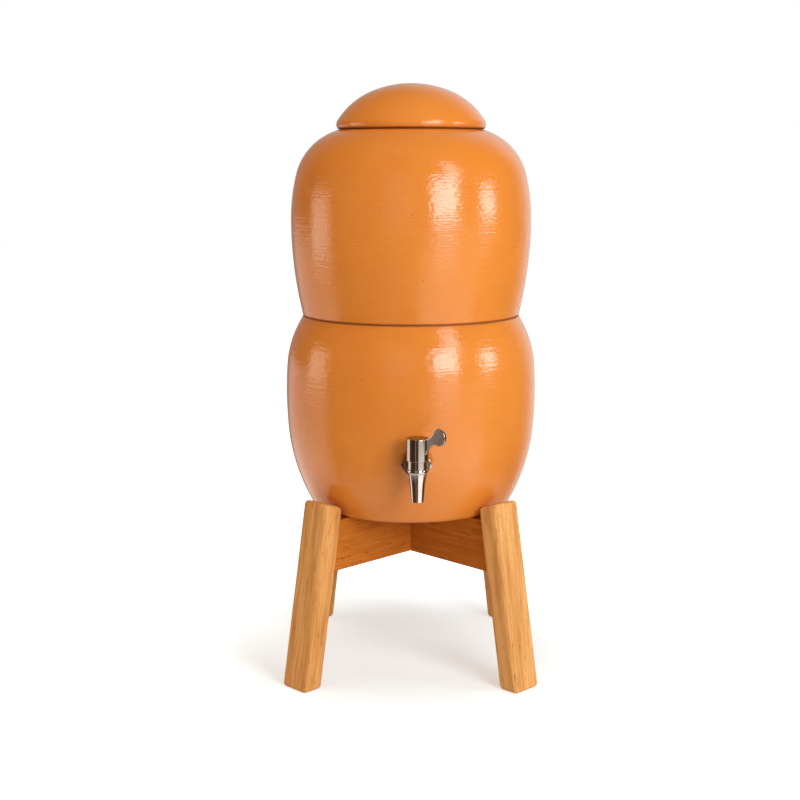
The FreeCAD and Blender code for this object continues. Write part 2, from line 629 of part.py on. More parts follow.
def make_lid():
    # A hollow dome: a wide crown, a tighter shoulder and a rounded rim, with a ring that drops
    # into the upper pot's opening.
    lid = new_body("lid")
    rim_round = value("Size.lid_rim_round")
    rim_rise = value("Size.lid_rim_rise")
    wall = value("Size.lid_wall")
    edge = FreeCAD.Vector(value(lid_edge), value(lid_seam), 0)
    apex = FreeCAD.Vector(0, value(f"{lid_seam} + Size.lid_rise"), 0)
    rim = edge + FreeCAD.Vector(-math.sqrt(rim_round ** 2 - rim_rise ** 2), rim_rise, 0)
    crown = apex - FreeCAD.Vector(0, value("Size.lid_crown"), 0)
    high = beside_circle(crown, apex, value("Size.lid_crown_reach"))
    inward = (crown - high).normalize()
    way = rim - high
    shoulder = high + inward * ((way.Length ** 2 - rim_round ** 2) / 2 / (way.dot(inward) - rim_round))
    low = rim + (rim - shoulder).normalize() * rim_round

    ring_outside = f"({upper_opening} - Size.lid_ring_clearance)"
    ring_inside = f"({ring_outside} - Size.lid_ring_wall)"
    ring_bottom = f"({lid_seam} - Size.lid_ring_depth)"
    gallery = f"({lid_seam} + Size.lid_gallery_rise)"
    inner_high = high + inward * wall
    inner_low = on_circle(shoulder, inner_high, value(gallery))
    inner_apex = apex - FreeCAD.Vector(0, wall, 0)
    corners = [FreeCAD.Vector(value(x), value(y), 0) for x, y in (
        (ring_inside, lid_seam), (ring_inside, ring_bottom),
        (ring_outside, ring_bottom), (ring_outside, lid_seam))]

    sketch = sketch_on(lid, "lid_section", "XZ_Plane")
    rim_arc = add_arc(sketch, rim, edge, low)
    shoulder_arc = add_arc(sketch, shoulder, low, high)
    crown_arc = add_arc(sketch, crown, high, apex)
    middle = add_line(sketch, apex, inner_apex)
    inner_crown = add_arc(sketch, crown, inner_high, inner_apex)
    inner_shoulder = add_arc(sketch, shoulder, inner_low, inner_high)
    slope, inside, under, outside = (add_line(sketch, start, end) for start, end in zip(
        [inner_low] + corners[:3], corners))
    seat = add_line(sketch, corners[3], edge)
    join(sketch, rim_arc, 2, shoulder_arc, 1, "Tangent")
    join(sketch, shoulder_arc, 2, crown_arc, 1, "Tangent")
    join(sketch, inner_shoulder, 2, inner_crown, 1, "Tangent")
    join(sketch, inner_crown, 3, crown_arc, 3)
    join(sketch, inner_shoulder, 3, shoulder_arc, 3)
    for first, start, second, end in ((crown_arc, 2, middle, 1), (middle, 2, inner_crown, 2),
                                      (inner_shoulder, 1, slope, 1), (slope, 2, inside, 1),
                                      (inside, 2, under, 1), (under, 2, outside, 1),
                                      (outside, 2, seat, 1), (seat, 2, rim_arc, 1)):
        join(sketch, first, start, second, end)
    constrain(sketch, "Radius", crown_arc, size="Size.lid_crown")
    constrain(sketch, "Radius", rim_arc, size="Size.lid_rim_round")
    constrain(sketch, "Radius", inner_crown, size="Size.lid_crown - Size.lid_wall")
    pin(sketch, crown_arc, 1, x="Size.lid_crown_reach")
    pin(sketch, crown_arc, 2, "0", f"{lid_seam} + Size.lid_rise")
    pin(sketch, crown_arc, 3, x="0")
    pin(sketch, middle, 2, x="0")
    pin(sketch, rim_arc, 1, lid_edge, lid_seam)
    pin(sketch, rim_arc, 3, y=f"{lid_seam} + Size.lid_rim_rise")
    pin(sketch, inner_shoulder, 1, y=gallery)
    pin(sketch, slope, 2, ring_inside, lid_seam)
    pin(sketch, inside, 2, ring_inside, ring_bottom)
    pin(sketch, under, 2, ring_outside, ring_bottom)
    pin(sketch, outside, 2, ring_outside, lid_seam)
    feature(lid, "Revolution", "lid_thrown", sketch)
    place(lid, y=axis_y)


make_lid()


# ---- filter candle, in the upper pot's floor ----

def turned_piece(name, corners):
    # a piece of one turned section, upright on the pots' axis
    body = new_body(name)
    section = sketch_on(body, f"{name}_section", "XZ_Plane")
    outline(section, corners)
    feature(body, "Revolution", f"{name}_turned", section)
    return body


def ring(name, outside, inside, bottom, thickness):
    body = new_body(name)
    face = sketch_on(body, f"{name}_face", "XY_Plane", bottom)
    circle(face, outside)
    circle(face, inside)
    feature(body, "Pad", f"{name}_ring", face, Length=thickness)
    return body


stem_hole = "Size.stem_diameter + 2 * Size.thread_clearance"
gasket_top = f"({upper_floor} + Size.gasket_thickness)"
cup_inside = f"({gasket_top} + Size.cup_floor)"
cup_top = f"({gasket_top} + Size.cup_depth)"
cup_bore = "(Size.candle_diameter / 2 + Size.candle_fit)"
cup_radius = f"({cup_bore} + Size.cup_wall)"
slip_washer_bottom = f"({spigot_bottom} - Size.slip_washer_thickness)"
wing_bottom = f"({slip_washer_bottom} - Size.wing_hub_height)"
stem_end = f"({wing_bottom} - Size.stem_below_nut)"

place(ring("candle_gasket", "Size.gasket_diameter", stem_hole, upper_floor, "Size.gasket_thickness"),
      y=axis_y)
place(ring("candle_slip_washer", "Size.slip_washer_diameter", stem_hole, slip_washer_bottom,
           "Size.slip_washer_thickness"), y=axis_y)

stem_radius = "Size.stem_diameter / 2"
bore_radius = "Size.stem_bore / 2"
candle_cup = turned_piece("candle_cup", [
    (bore_radius, stem_end), (f"{stem_radius} - Size.cup_chamfer", stem_end),
    (stem_radius, f"{stem_end} + Size.cup_chamfer"), (stem_radius, gasket_top),
    (f"{cup_radius} - Size.cup_chamfer", gasket_top), (cup_radius, f"{gasket_top} + Size.cup_chamfer"),
    (cup_radius, cup_top), (cup_bore, cup_top), (cup_bore, cup_inside), (bore_radius, cup_inside)])
place(candle_cup, y=axis_y)

candle_radius = "Size.candle_diameter / 2"
candle_bore = f"({candle_radius} - Size.candle_wall)"
dome_start = f"({cup_inside} + Size.candle_height - {candle_radius})"
candle_dome = turned_piece("candle_dome", [
    (candle_bore, cup_inside), (candle_radius, cup_inside),
    (candle_radius, dome_start, "left", candle_radius), ("0", f"{dome_start} + {candle_radius}"),
    ("0", f"{dome_start} + {candle_bore}", "right", candle_bore), (candle_bore, dome_start)])
place(candle_dome, y=axis_y)

wing_nut = ring("candle_wing_nut", "Size.wing_hub_diameter", stem_hole, wing_bottom,
                "Size.wing_hub_height")
wing_outline = sketch_on(wing_nut, "wing_outline", "XZ_Plane")
wing_root = "(Size.wing_hub_diameter / 2 - Size.wing_root_inset)"
wing_tip = "(Size.wing_span / 2)"
wing_low = f"({wing_bottom} + Size.wing_hub_height - Size.wing_height)"
outline(wing_outline, [(wing_root, f"{wing_bottom} + Size.wing_root_inset"),
                       (f"{wing_tip} - Size.wing_width", wing_low, "left", "Size.wing_tip_round"),
                       (wing_tip, wing_low),
                       (wing_root, f"{wing_bottom} + Size.wing_hub_height - Size.wing_root_inset")])
wing = feature(wing_nut, "Pad", "wing", wing_outline, SideType="Symmetric", Length="Size.wing_thickness")
second_wing = wing_nut.newObject("PartDesign::Mirrored", "second_wing")
second_wing.Originals = [wing]
second_wing.MirrorPlane = (origin_plane(wing_nut, "YZ_Plane"), [""])
wing_nut.Tip = second_wing
place(wing_nut, y=axis_y)


# ---- tap ----

def along_shank(body, name, draw, distance, length):
    # a pad towards the pot, from a plane that far behind the tap's upright axis
    face = sketch_on(body, f"{name}_face", "XZ_Plane", f"-({distance})")
    draw(face)
    return feature(body, "Pad", name, face, Length=length, Reversed=True)


def chamfer_hexagon(body, flats, front, back):
    # the cone that a hexagon's corners are turned to, on both faces
    for name, face, inward in (("front", front, "+"), ("back", back, "-")):
        corner = sketch_on(body, f"{body.Label}_{name}_corner", "YZ_Plane")
        outline(corner, [(face, f"{flats} / 2"), (face, flats),
                         (f"{face} {inward} {flats} / 2 * tan(30deg)", flats)])
        feature(body, "Groove", f"{body.Label}_{name}_chamfer", corner,
                ReferenceAxis=(corner, ["H_Axis"]))


flange_face = "Size.neck_length"
washer_face = "(Size.neck_length + Size.flange_thickness)"
inner_washer_face = f"({washer_face} + Size.tap_washer_thickness + Size.pot_wall)"
nut_face = f"({inner_washer_face} + Size.tap_washer_thickness)"
shank_end = f"({nut_face} + Size.lock_nut_thickness + Size.shank_beyond_nut)"
bonnet_bore = "(Size.bonnet_thread_diameter / 2 + Size.thread_clearance)"
bonnet_bottom = f"({bonnet_seat} - Size.bonnet_thread_length)"
plug_bore = "(Size.plug_diameter / 2)"
plug_radius = f"({plug_bore} - Size.plug_clearance)"
port_radius = "(Size.shank_bore / 2)"

tap_body = new_body("tap_body")
spout = sketch_on(tap_body, "barrel_section", "XZ_Plane")
outline(spout, [
    ("0", "-Size.outlet_drop"), ("Size.outlet_radius", "-Size.outlet_drop"),
    ("Size.spout_waist_radius", "-Size.spout_waist_drop", "right", "Size.spout_flare"),
    ("Size.barrel_radius", "-Size.barrel_drop", "left", "Size.bead_round"),
    ("Size.barrel_radius", "Size.bead_height - Size.barrel_drop"),
    ("Size.barrel_radius", "Size.collar_top"), ("Size.boss_radius", "Size.collar_top"),
    ("Size.boss_radius", bonnet_seat), ("0", bonnet_seat)])
feature(tap_body, "Revolution", "barrel", spout)
along_shank(tap_body, "neck", lambda face: circle(face, "Size.neck_diameter"), "0",
            "Size.neck_length + Size.flange_thickness / 2")
along_shank(tap_body, "flange", lambda face: hexagon(face, "Size.flange_flats"), flange_face,
            "Size.flange_thickness")
chamfer_hexagon(tap_body, "Size.flange_flats", flange_face, washer_face)
along_shank(tap_body, "shank", lambda face: circle(face, "Size.shank_diameter"), washer_face,
            f"{shank_end} - {washer_face}")
edge_feature(tap_body, "Chamfer", "shank_lead", "Size.shank_chamfer",
             lambda edge: edge.BoundBox.YMin > value(shank_end) - 0.01)
bores = sketch_on(tap_body, "upright_bores", "XZ_Plane")
outline(bores, [
    ("0", "-Size.outlet_drop"), ("Size.outlet_bore / 2", "-Size.outlet_drop"),
    ("Size.outlet_bore / 2", "-Size.plug_drop"), (plug_bore, "-Size.plug_drop"),
    (plug_bore, bonnet_bottom), (bonnet_bore, bonnet_bottom),
    (bonnet_bore, bonnet_seat), ("0", bonnet_seat)])
feature(tap_body, "Groove", "upright_bore", bores)
inlet = sketch_on(tap_body, "inlet_circle", "XZ_Plane")
circle(inlet, "Size.shank_bore")
feature(tap_body, "Pocket", "inlet", inlet, Type="ThroughAll")
stop_root = "(Size.boss_radius - Size.stop_root_depth)"
stop_half = "Size.stop_width / 2"
stop = sketch_on(tap_body, "stop_outline", "XY_Plane", "Size.collar_top", turn=-sizes["lever_angle"])
outline(stop, [(stop_root, f"-{stop_half}"), ("Size.stop_radius", f"-{stop_half}"),
               ("Size.stop_radius", stop_half), (stop_root, stop_half)])
feature(tap_body, "Pad", "turn_stop", stop, Length="Size.stop_height")
place_on_tap(tap_body)

for name, distance in (("tap_outer_washer", washer_face), ("tap_inner_washer", inner_washer_face)):
    washer = new_body(name)
    along_shank(washer, f"{name}_ring", lambda face: (
        circle(face, "Size.tap_washer_diameter"),
        circle(face, "Size.shank_diameter + 2 * Size.washer_clearance")), distance,
        "Size.tap_washer_thickness")
    place_on_tap(washer)

lock_nut = new_body("tap_lock_nut")
along_shank(lock_nut, "lock_nut_block", lambda face: (
    hexagon(face, "Size.lock_nut_flats"),
    circle(face, "Size.shank_diameter + 2 * Size.thread_clearance")), nut_face,
    "Size.lock_nut_thickness")
chamfer_hexagon(lock_nut, "Size.lock_nut_flats", nut_face, f"({nut_face} + Size.lock_nut_thickness)")
place_on_tap(lock_nut)

# The plug turns in the barrel: its side port meets the inlet when the lever points to the left,
# and its hollow leads down to the outlet.
seal_root = f"({plug_radius} - Size.seal_section - Size.seal_clearance)"
seal_half = "(Size.seal_section / 2 + Size.seal_clearance * 2)"
tap_plug = new_body("tap_plug")
plug_section = sketch_on(tap_plug, "plug_section", "XZ_Plane")
outline(plug_section, [
    (port_radius, "-Size.plug_drop"), (plug_radius, "-Size.plug_drop"),
    (plug_radius, f"-Size.seal_offset - {seal_half}"), (seal_root, f"-Size.seal_offset - {seal_half}"),
    (seal_root, f"-Size.seal_offset + {seal_half}"), (plug_radius, f"-Size.seal_offset + {seal_half}"),
    (plug_radius, f"Size.seal_offset - {seal_half}"), (seal_root, f"Size.seal_offset - {seal_half}"),
    (seal_root, f"Size.seal_offset + {seal_half}"), (plug_radius, f"Size.seal_offset + {seal_half}"),
    (plug_radius, "Size.plug_rise"), ("Size.plug_stem_radius", "Size.plug_rise"),
    ("Size.plug_stem_radius", cap_ceiling), ("0", cap_ceiling),
    ("0", port_radius), (port_radius, port_radius)])
feature(tap_plug, "Revolution", "plug_turned", plug_section)
drive = sketch_on(tap_plug, "drive_outline", "XY_Plane", cap_ceiling, turn=sizes["lever_angle"])
rectangle(drive, "Size.drive_square", "Size.drive_square")
feature(tap_plug, "Pad", "drive", drive, Length="Size.drive_height")
port = sketch_on(tap_plug, "port_circle", "YZ_Plane")
circle(port, "Size.shank_bore")
feature(tap_plug, "Pocket", "port", port, Type="ThroughAll")
place_on_tap(tap_plug)

seals = []
for side in ("-", ""):
    seal = doc.addObject("Part::Torus", "plug_seal")
    seal.setExpression("Radius1", f"{plug_radius} - Size.seal_section / 2")
    seal.setExpression("Radius2", "Size.seal_section / 2")
    seal.setExpression("Placement.Base.z", f"{side}Size.seal_offset")
    seals.append(seal)
tap_seals = doc.addObject("Part::Compound", "tap_seals")
tap_seals.Label = "tap_seals"
tap_seals.Links = seals
nodes.append(tap_seals)
place_on_tap(tap_seals)

bonnet = new_body("tap_bonnet")
bonnet_hexagon = sketch_on(bonnet, "bonnet_hexagon", "XY_Plane", bonnet_seat)
hexagon(bonnet_hexagon, "Size.bonnet_flats")
feature(bonnet, "Pad", "bonnet_head", bonnet_hexagon, Length="Size.bonnet_height")
disc(bonnet, "bonnet_thread", "Pad", "Size.bonnet_thread_diameter", bonnet_bottom,
     Length="Size.bonnet_thread_length")
disc(bonnet, "bonnet_bore", "Pocket", "2 * (Size.plug_stem_radius + Size.plug_clearance)",
     f"{bonnet_seat} + Size.bonnet_height", Type="ThroughAll")
place_on_tap(bonnet)

lever = new_body("tap_lever")
cap = sketch_on(lever, "cap_section", "XZ_Plane")
outline(cap, [
    (cap_inside, cap_bottom), ("Size.cap_radius", cap_bottom),
    ("Size.cap_radius", f"{cap_top} - Size.cap_round", "left", "Size.cap_round"),
    ("Size.cap_radius - Size.cap_round", cap_top), ("0", cap_top),
    ("0", cap_ceiling), (cap_inside, cap_ceiling)])
feature(lever, "Revolution", "cap", cap)
paddle_radius = "(Size.paddle_diameter / 2)"
paddle_x = f"(Size.lever_reach - {paddle_radius})"


def on_paddle(angle):
    # the point of the paddle's round edge in that direction from its middle
    return (f"{paddle_x} + {paddle_radius} * cos({angle} * 1deg)",
            f"Size.paddle_rise + {paddle_radius} * sin({angle} * 1deg)")


blade = sketch_on(lever, "blade_outline", "XZ_Plane")
outline(blade, [
    ("Size.lever_root_radius", "Size.lever_root_rise", "right", "Size.lever_lower_curve"),
    (*on_paddle("Size.paddle_lower_angle"), "left", paddle_radius),
    ("Size.lever_reach", "Size.paddle_rise", "left", paddle_radius),
    (*on_paddle("Size.paddle_upper_angle"), "right", "Size.lever_upper_curve"),
    ("Size.cap_radius + Size.cap_round", cap_top), ("Size.lever_root_radius", cap_top)])
feature(lever, "Pad", "blade", blade, SideType="Symmetric", Length="Size.lever_thickness")
edge_feature(lever, "Fillet", "paddle_edge", "Size.cap_round",
             lambda edge: isinstance(edge.Curve, Part.Circle) and abs(edge.Curve.Axis.y) > 0.99)
socket = sketch_on(lever, "socket_outline", "XY_Plane", cap_ceiling)
rectangle(socket, "Size.drive_square + 2 * Size.drive_clearance",
          "Size.drive_square + 2 * Size.drive_clearance")
feature(lever, "Pocket", "socket", socket, Reversed=True, Length="Size.drive_height + Size.drive_end_gap")
recess_half = "(Size.stop_width / 2 + Size.stop_clearance)"
recess_reach = f"sqrt(Size.stop_recess_radius ^ 2 - {recess_half} ^ 2)"
recess = sketch_on(lever, "stop_recess_outline", "XY_Plane", cap_bottom)
outline(recess, [("0", f"-{recess_half}"),
                 (recess_reach, f"-{recess_half}", "left", "Size.stop_recess_radius"),
                 (f"-{recess_half}", recess_reach), (f"-{recess_half}", "0")])
feature(lever, "Pocket", "stop_recess", recess, Reversed=True, Length="Size.stop_height")
place_on_tap(lever, turn=-sizes["lever_angle"])


# ---- check and export ----

doc.recompute()
for item in doc.Objects:
    if "Invalid" in item.State or "Error" in item.State:
        raise RuntimeError(f"{item.Label} did not rebuild")
for node in nodes:
    if node.Shape.isNull() or not node.Shape.isValid():
        raise RuntimeError(f"{node.Label} has no valid shape")
os.makedirs("parts", exist_ok=True)
for node in nodes:
    node.Shape.exportStep(f"parts/{node.Label}.step")
    print(node.Label, len(node.Shape.Solids), round(node.Shape.Volume))
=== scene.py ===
import math
import bmesh
import bpy
from mathutils import Matrix, Vector


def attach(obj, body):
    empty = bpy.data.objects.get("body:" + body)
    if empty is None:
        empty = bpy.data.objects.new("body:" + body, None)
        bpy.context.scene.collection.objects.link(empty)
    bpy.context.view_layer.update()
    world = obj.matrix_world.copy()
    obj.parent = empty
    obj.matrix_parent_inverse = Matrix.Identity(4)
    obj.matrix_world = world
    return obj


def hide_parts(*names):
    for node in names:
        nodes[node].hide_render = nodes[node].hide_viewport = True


# Clay water filter on a wooden stand. Metres, +Z up, the tap is at the front (-Y), floor at Z = 0.

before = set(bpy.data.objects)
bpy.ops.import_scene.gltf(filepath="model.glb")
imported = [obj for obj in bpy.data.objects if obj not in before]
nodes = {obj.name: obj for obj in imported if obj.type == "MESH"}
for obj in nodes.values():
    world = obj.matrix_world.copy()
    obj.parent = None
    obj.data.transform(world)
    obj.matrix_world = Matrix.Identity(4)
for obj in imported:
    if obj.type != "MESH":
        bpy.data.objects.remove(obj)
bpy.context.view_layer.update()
print("frame loaded:", len(nodes), "nodes")

axisY = 0.0221887  # the upright axis of the pots and the stand lies behind the middle of the whole
potAxis = Matrix.Translation((0, axisY, 0))
tapYaw = math.radians(2.5)
tapReach = 0.151903  # from the pots' axis to the tap's upright axis
tapHeight = 0.2384
tapPlace = (Matrix.Translation((0, axisY, tapHeight)) @ Matrix.Rotation(tapYaw, 4, "Z")
            @ Matrix.Translation((0, -tapReach, 0)))
leverPlace = tapPlace @ Matrix.Rotation(math.radians(-45), 4, "Z")


# camera: a little above the pots' middle, looking slightly down

camera = {
    "place": (0, -1.458991, 0.53493),
    "down": 0.1703,
    "turn": 0.0078,
    "lens": 63.10,
    "sensor": 36,
    "farthest": 60,
}


def addCamera():
    data = bpy.data.cameras.new("camera")
    data.lens = camera["lens"]
    data.sensor_width = camera["sensor"]
    data.clip_end = camera["farthest"]
    made = bpy.data.objects.new("camera", data)
    made.location = camera["place"]
    made.rotation_euler = (math.pi / 2 - camera["down"], 0, camera["turn"])
    bpy.context.scene.collection.objects.link(made)
    bpy.context.scene.camera = made


addCamera()


# node helpers

def addNode(tree, kind, inputs=None, **settings):
    made = tree.nodes.new(kind)
    for key, setting in settings.items():
        setattr(made, key, setting)
    for key, source in (inputs or {}).items():
        if isinstance(source, bpy.types.NodeSocket):
            tree.links.new(source, made.inputs[key])
        else:
            made.inputs[key].default_value = source
    return made


def addMath(tree, operation, first, second=0.0, clamp=False):
    return addNode(tree, "ShaderNodeMath", {0: first, 1: second},
                   operation=operation, use_clamp=clamp).outputs[0]


def plus(tree, first, second):
    return addMath(tree, "ADD", first, second)


def minus(tree, first, second):
    return addMath(tree, "SUBTRACT", first, second)


def times(tree, first, second):
    return addMath(tree, "MULTIPLY", first, second)


def addVectorMath(tree, operation, first, second=(0, 0, 0)):
    made = addNode(tree, "ShaderNodeVectorMath", {0: first, 1: second}, operation=operation)
    return made.outputs["Value" if operation == "LENGTH" else "Vector"]


def addMix(tree, factor, first, second, blend="MIX"):
    # inputs 6 and 7 and output 2 are those for colours
    return addNode(tree, "ShaderNodeMix", {0: factor, 6: first, 7: second},
                   data_type="RGBA", blend_type=blend).outputs[2]


def addRange(tree, source, low, high, newLow=0.0, newHigh=1.0, smooth=True):
    return addNode(tree, "ShaderNodeMapRange", {0: source, 1: low, 2: high, 3: newLow, 4: newHigh},
                   interpolation_type="SMOOTHSTEP" if smooth else "LINEAR").outputs[0]


def addNoise(tree, place, noise, w=None):
    # noise: (scale, stretch along X, Y and Z or None, detail, roughness)
    scale, stretch, detail, roughness = noise
    if stretch:
        place = addVectorMath(tree, "MULTIPLY", place, stretch)
    inputs = {"Vector": place, "Scale": scale, "Detail": detail, "Roughness": roughness}
    if w is not None:
        inputs["W"] = w
    return addNode(tree, "ShaderNodeTexNoise", inputs,
                   noise_dimensions="3D" if w is None else "4D").outputs["Fac"]


def newGroup(name, treeKind, inputs, outputs):
    # inputs and outputs: label and kind of each socket
    tree = bpy.data.node_groups.new(name, treeKind)
    for way, sockets in (("OUTPUT", outputs), ("INPUT", inputs)):
        for label, kind in sockets.items():
            tree.interface.new_socket(label, in_out=way, socket_type="NodeSocket" + kind)
    return tree, tree.nodes.new("NodeGroupInput").outputs, tree.nodes.new("NodeGroupOutput").inputs


def connect(tree, targets, sources):
    for label, source in sources.items():
        tree.links.new(source, targets[label])


def useGroup(tree, group, inputs):
    return addNode(tree, "ShaderNodeGroup", inputs, node_tree=group).outputs


def newMaterial(name, **shader):
    material = bpy.data.materials.new(name)
    material.use_nodes = True
    tree = material.node_tree
    surface = tree.nodes["Principled BSDF"]
    for key, setting in shader.items():
        surface.inputs[key.replace("_", " ")].default_value = setting
    return material, tree, surface.inputs


def addBump(tree, height, distance):
    return addNode(tree, "ShaderNodeBump", {
        "Height": height, "Distance": distance, "Strength": 1.0}).outputs[0]


def objectPlace(tree):
    return addNode(tree, "ShaderNodeTexCoord").outputs["Object"]


def addAttribute(tree, name, output="Fac"):
    return addNode(tree, "ShaderNodeAttribute", attribute_name=name).outputs[output]


# surface effects, each a group; a row of four is a noise, as addNoise takes it

thrown = {
    "fine": (1.0, (34, 34, 820), 1.0, 0.5), "fineDepth": 0.25,
    "wide": (1.0, (22, 22, 430), 1.0, 0.5),
    "peel": (250.0, (1, 1, 1.4), 2.0, 0.5),
    "cloud": (8.0, None, 3.0, 0.55),
    "smear": (1.0, (60, 60, 130), 3.0, 0.6),
    "pitScale": 165.0, "pitRim": (0.05, 0.17), "pitDepth": 0.8,
}


def makeThrownGroup():
    # what turning on a wheel leaves: fine level lines, a slight orange peel, and pits from grit
    tree, given, result = newGroup(
        "thrownSurface", "ShaderNodeTree",
        {"Place": "Vector", "Peel": "Float", "Pit Amount": "Float"},
        dict.fromkeys(("Height", "Lines", "Pits", "Cloud", "Smear"), "Float"))
    place = given["Place"]
    fine, wide, peel, cloud, smear = [addNoise(tree, place, thrown[name]) for name in (
        "fine", "wide", "peel", "cloud", "smear")]
    cell = addNode(tree, "ShaderNodeTexVoronoi", {
        "Vector": place, "Scale": thrown["pitScale"], "Randomness": 1.0}, feature="F1").outputs
    pitRound = addRange(tree, cell["Distance"], *thrown["pitRim"], 1.0, 0.0)
    rare = addNode(tree, "ShaderNodeSeparateColor", {0: cell["Color"]}).outputs[0]
    chosen = addMath(tree, "GREATER_THAN", rare, minus(tree, 1.0, given["Pit Amount"]))
    pits = times(tree, pitRound, chosen)
    height = plus(tree, times(tree, fine, thrown["fineDepth"]), wide)
    height = plus(tree, height, times(tree, peel, given["Peel"]))
    connect(tree, result, {
        "Height": minus(tree, height, times(tree, pits, thrown["pitDepth"])),
        "Lines": plus(tree, times(tree, fine, 0.5), times(tree, wide, 0.5)),
        "Pits": pits, "Cloud": cloud, "Smear": smear})
    return tree


grain = {
    "sway": (1.0, (20, 20, 4.5), 2.0, 0.5), "swayDepth": 0.018,
    "ripple": (1.0, (90, 90, 14), 3.0, 0.6), "rippleDepth": 0.0034,
    "fibres": (1.0, (560, 560, 24), 3.0, 0.7), "fibreDepth": 0.5,
    "pores": (1.0, (900, 900, 75), 1.0, 0.5), "poreRim": (0.66, 0.74),
    "tone": (1.0, (105, 105, 7), 3.0, 0.6),
    "flecks": (1.0, (420, 420, 52), 2.0, 0.6), "fleckRim": (0.60, 0.74),
    "alongFibres": 0.02, "lateWood": (0.35, 0.9), "yearEnd": (0.93, 1.0), "lateDepth": 0.3,
}


def makeWoodGroup():
    # yearly rings round a pith that lies beside the board, with fibres and short dark pores
    tree, given, result = newGroup(
        "woodGrain", "ShaderNodeTree",
        {"Place": "Vector", "Piece": "Float", "Pith": "Vector", "Ring Width": "Float"},
        dict.fromkeys(("Rings", "Fibres", "Pores", "Tone", "Flecks", "Height"), "Float"))
    place = given["Place"]

    sway, ripple, fibres, pores, tone, flecks = [
        addNoise(tree, place, grain[name], given["Piece"]) for name in (
            "sway", "ripple", "fibres", "pores", "tone", "flecks")]
    flat = addVectorMath(tree, "MULTIPLY", addVectorMath(tree, "SUBTRACT", place, given["Pith"]),
                         (1, 1, grain["alongFibres"]))
    distance = addVectorMath(tree, "LENGTH", flat)
    distance = plus(tree, distance, times(tree, sway, grain["swayDepth"]))
    distance = plus(tree, distance, times(tree, ripple, grain["rippleDepth"]))
    year = addMath(tree, "FRACT", addMath(tree, "DIVIDE", distance, given["Ring Width"]))
    late = times(tree, addRange(tree, year, *grain["lateWood"]),
                 addRange(tree, year, *grain["yearEnd"], 1.0, 0.0))
    pores = addRange(tree, pores, *grain["poreRim"])
    height = minus(tree, times(tree, fibres, grain["fibreDepth"]), pores)
    connect(tree, result, {
        "Rings": late, "Fibres": fibres, "Pores": pores, "Tone": tone,
        "Flecks": addRange(tree, flecks, *grain["fleckRim"]),
        "Height": plus(tree, height, times(tree, late, grain["lateDepth"]))})
    return tree


grit = {
    "grain": (3.0, 0.6),
    "smudge": (60.0, None, 4.0, 0.6),
}


def makeGritGroup():
    # the fine unevenness of moulded, pressed or plated surfaces
    tree, given, result = newGroup(
        "fineGrit", "ShaderNodeTree", {"Place": "Vector", "Grain Scale": "Float"},
        {"Height": "Float", "Smudge": "Float"})
    connect(tree, result, {
        "Height": addNoise(tree, given["Place"], (given["Grain Scale"], None, *grit["grain"])),
        "Smudge": addNoise(tree, given["Place"], grit["smudge"])})
    return tree


thrownSurface = makeThrownGroup()
woodGrain = makeWoodGroup()
fineGrit = makeGritGroup()


# materials; a pair ending in Range is where in a noise the change from one to the other lies

midRange = (0.3, 0.7)

clay = {
    "colour": (0.768, 0.252, 0.038, 1),
    "warm": (0.728, 0.224, 0.030, 1), "cloudRange": (0.35, 0.68),
    "pale": (0.790, 0.290, 0.060, 1), "lineRange": (0.35, 0.70), "lineAmount": 0.12,
    "bare": (0.620, 0.250, 0.105, 1),
    "pit": (0.250, 0.070, 0.020, 1), "pitDark": 0.8, "pitShare": 0.02,
    # the seam colour is painted shade in the groove where two pieces meet
    "seamShade": (0.400, 0.100, 0.004, 1), "seamShadeRange": (0.15, 0.75), "seamShadeSpread": 0.9,
    "relief": 0.00022, "peel": 1.25,
    "gloss": (0.12, 0.18), "smearRange": (0.25, 0.75), "dull": 0.45,
}


def waxedClay():
    material, tree, surface = newMaterial("waxedClay", IOR=1.55)
    made = useGroup(tree, thrownSurface, {
        "Place": objectPlace(tree), "Peel": clay["peel"], "Pit Amount": clay["pitShare"]})
    bare, edge = addAttribute(tree, "bare"), addAttribute(tree, "seamShade")
    cloud = addRange(tree, made["Cloud"], *clay["cloudRange"])
    lines = addRange(tree, made["Lines"], *clay["lineRange"], 0.0, clay["lineAmount"])
    # the seam colour is painted shade along the seams, uneven and wider where a noise runs high
    shadeSpread = times(tree, minus(tree, made["Smear"], 0.5), clay["seamShadeSpread"])
    seamShade = addRange(tree, plus(tree, edge, times(tree, shadeSpread, edge)), *clay["seamShadeRange"])
    colour = addMix(tree, cloud, clay["warm"], clay["colour"])
    # the last of these mixes paints the shade along the seams
    for amount, tone in ((lines, "pale"), (bare, "bare"),
                         (times(tree, made["Pits"], clay["pitDark"]), "pit"), (seamShade, "seamShade")):
        colour = addMix(tree, amount, colour, clay[tone])
    gloss = addRange(tree, made["Smear"], *clay["smearRange"], *clay["gloss"])
    dull = times(tree, addMath(tree, "MAXIMUM", bare, seamShade), clay["dull"])
    connect(tree, surface, {
        "Base Color": colour, "Roughness": addMath(tree, "ADD", gloss, dull, True),
        "Normal": addBump(tree, made["Height"], clay["relief"])})
    return material


wood = {
    "early": (0.865, 0.465, 0.170, 1),
    "late": (0.520, 0.195, 0.045, 1), "ringDark": 0.22, "fleckDark": 0.6,
    "toneRange": (0.45, 0.72), "toneDark": 0.65,
    "fibre": (0.690, 0.300, 0.082, 1), "fibreRange": (0.42, 0.66), "fibreDark": 0.85,
    "pore": (0.200, 0.070, 0.020, 1), "poreDark": 0.75,
    # the rails' tint is partly a darker stain and partly painted shade and warm bounce from the pot
    # above them
    "railStainAndShade": (0.71, 0.44, 0.175, 1),
    "aged": (0.88, 0.80, 0.70, 1), "ageStep": 0.43,
    "rough": (0.42, 0.6), "relief": 0.00016,
}


